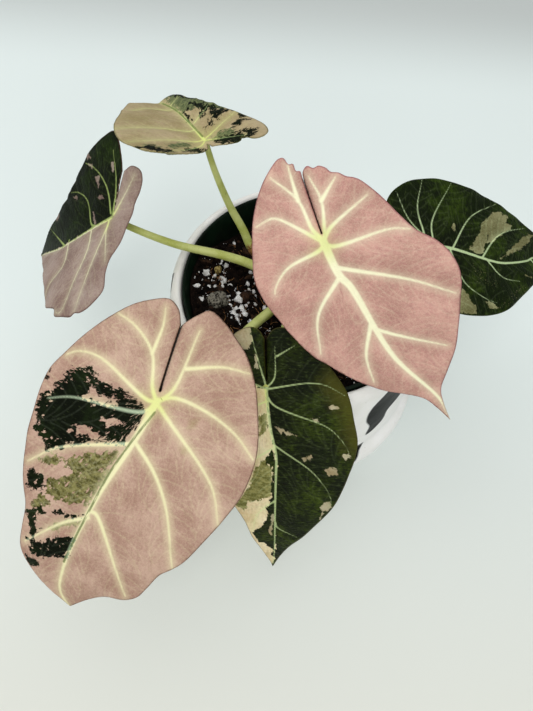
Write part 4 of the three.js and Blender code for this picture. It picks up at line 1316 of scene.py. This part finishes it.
def nursery_pot():
    bottom, rim, top = NURSERY_BOTTOM, NURSERY_RIM_RADIUS, NURSERY_RIM_TOP
    floor = bottom + NURSERY_WALL
    lip = top - NURSERY_LIP_HEIGHT
    outside = [
        (NURSERY_FOOT_RADIUS - 1, bottom), (nursery_outside(bottom + 1.5), bottom + 1.5),
        (nursery_outside(40), 40), (nursery_outside(lip - 1), lip - 1), (nursery_outside(lip), lip),
        (rim - 0.4, lip), (rim, lip + 0.6), (rim, top - 0.6), (rim - 0.4, top), (rim - 0.9, top),
        (rim - 1.3, top - 0.6), (nursery_outside(lip) - NURSERY_WALL, lip - 1.5),
        (nursery_outside(40) - NURSERY_WALL, 40), (nursery_outside(floor) - NURSERY_WALL, floor),
    ]
    dense = [outside[0]]
    for a, b in zip(outside, outside[1:]):
        steps = max(1, round(math.dist(a, b) / 2.0))
        dense += [tuple(np.array(a) + (np.array(b) - a) * i / steps) for i in range(1, steps + 1)]
    points, faces = lathe([(0, bottom), *dense, (0, floor)], 200)
    piece("nursery_pot_shell", points, faces, green_plastic(), ["nursery_pot"], "nursery_pot")


def green_plastic():
    paint = Paint("green_plastic", 0.45, 0.12)
    place = paint.place()
    colour = paint.mix(paint.spots(place, 0.3, 0.7, 0.1, 3), "060E07", "0A1C10")
    colour = paint.over(colour, "4A4236", paint.spots(place, 0.58, 0.7, 0.7, 6, 0.7), 0.35)
    return paint.finished(colour, paint.noise(place, 2.0, 3), 0.15, 0.1)


# Stage, light and camera.


def stage():
    bpy.ops.mesh.primitive_plane_add(size=FLOOR_SIZE_M)
    floor = bpy.context.object
    floor.name = "floor"
    paint = Paint("floor_paint", 0.7, 0.1)
    near = paint.node("SeparateXYZ", {}, {0: paint.place()})["Y"]
    # Painted shade: the floor is darker and warmer towards the front, and darker again far behind the pot.
    front_shaded_floor = paint.mix(paint.step(near, 60.0, -260.0), "CDD6D4", "C5C4B9")
    paint.shader.inputs["Emission Color"].default_value = srgb("E2E8E5")
    paint.shader.inputs["Emission Strength"].default_value = FLOOR_GLOW
    floor.data.materials.append(paint.finished(paint.mix(paint.step(near, 225.0, 345.0), front_shaded_floor, "A6ABA9")))


def lights():
    world = bpy.data.worlds.new("world")
    world.use_nodes = True
    nodes, links = world.node_tree.nodes, world.node_tree.links
    background = nodes["Background"]
    background.inputs["Color"].default_value = SKY_COLOUR
    direction = nodes.new("ShaderNodeTexCoord")
    axes = nodes.new("ShaderNodeSeparateXYZ")
    rise = nodes.new("ShaderNodeMapRange")
    for key, value in zip(("From Min", "From Max", "To Min", "To Max"), (0.0, 0.8, *SKY_STRENGTHS)):
        rise.inputs[key].default_value = value
    links.new(direction.outputs["Generated"], axes.inputs[0])
    links.new(axes.outputs["Z"], rise.inputs["Value"])
    links.new(rise.outputs[0], background.inputs["Strength"])
    bpy.context.scene.world = world
    bpy.context.scene.view_settings.view_transform = "Standard"
    for name, (place, target, size, power, colour) in LAMPS.items():
        data = bpy.data.lights.new(name, "AREA")
        data.shape = "DISK"
        data.size = size * MM
        data.energy = power
        data.color = colour
        lamp = bpy.data.objects.new(name, data)
        lamp.location = Vector(place) * MM
        lamp.rotation_euler = (Vector(target) - Vector(place)).to_track_quat("-Z", "Y").to_euler()
        bpy.context.scene.collection.objects.link(lamp)


def camera():
    down = math.radians(CAMERA_DOWN_DEG)
    roll = math.radians(CAMERA_ROLL_DEG)
    right = Vector((1, 0, 0))
    ahead = Vector((0, math.cos(down), -math.sin(down)))
    up = right.cross(ahead)
    turned_right = math.cos(roll) * right + math.sin(roll) * up
    turned_up = math.cos(roll) * up - math.sin(roll) * right
    data = bpy.data.cameras.new("camera")
    data.lens = CAMERA_LENS_MM
    data.sensor_width = CAMERA_SENSOR_MM
    data.clip_start = 0.01
    made = bpy.data.objects.new("camera", data)
    axes = Matrix((turned_right, turned_up, -ahead)).transposed()
    made.matrix_world = Matrix.Translation(Vector(CAMERA_PLACE) * MM) @ axes.to_4x4()
    bpy.context.scene.collection.objects.link(made)
    bpy.context.scene.camera = made


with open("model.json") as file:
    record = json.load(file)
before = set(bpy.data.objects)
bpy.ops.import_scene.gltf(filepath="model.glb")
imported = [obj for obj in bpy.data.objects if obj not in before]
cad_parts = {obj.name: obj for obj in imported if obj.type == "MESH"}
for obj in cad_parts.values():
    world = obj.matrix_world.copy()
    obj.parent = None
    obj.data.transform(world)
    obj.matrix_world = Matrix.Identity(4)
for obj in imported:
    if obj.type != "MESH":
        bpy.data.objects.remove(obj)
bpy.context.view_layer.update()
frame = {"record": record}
frame_slots = {part["node"]: part["material_slot"] for part in frame["record"]["subparts"]}

camera()
lights()
stage()
cover_pot()
nursery_pot()
soil()
crown()
stalk_material = stalk_skin()
for number, leaf in enumerate(LEAVES):
    stalk(leaf, stalk_material)
    blade(leaf, velvet(leaf["colours"]), 11 + number)
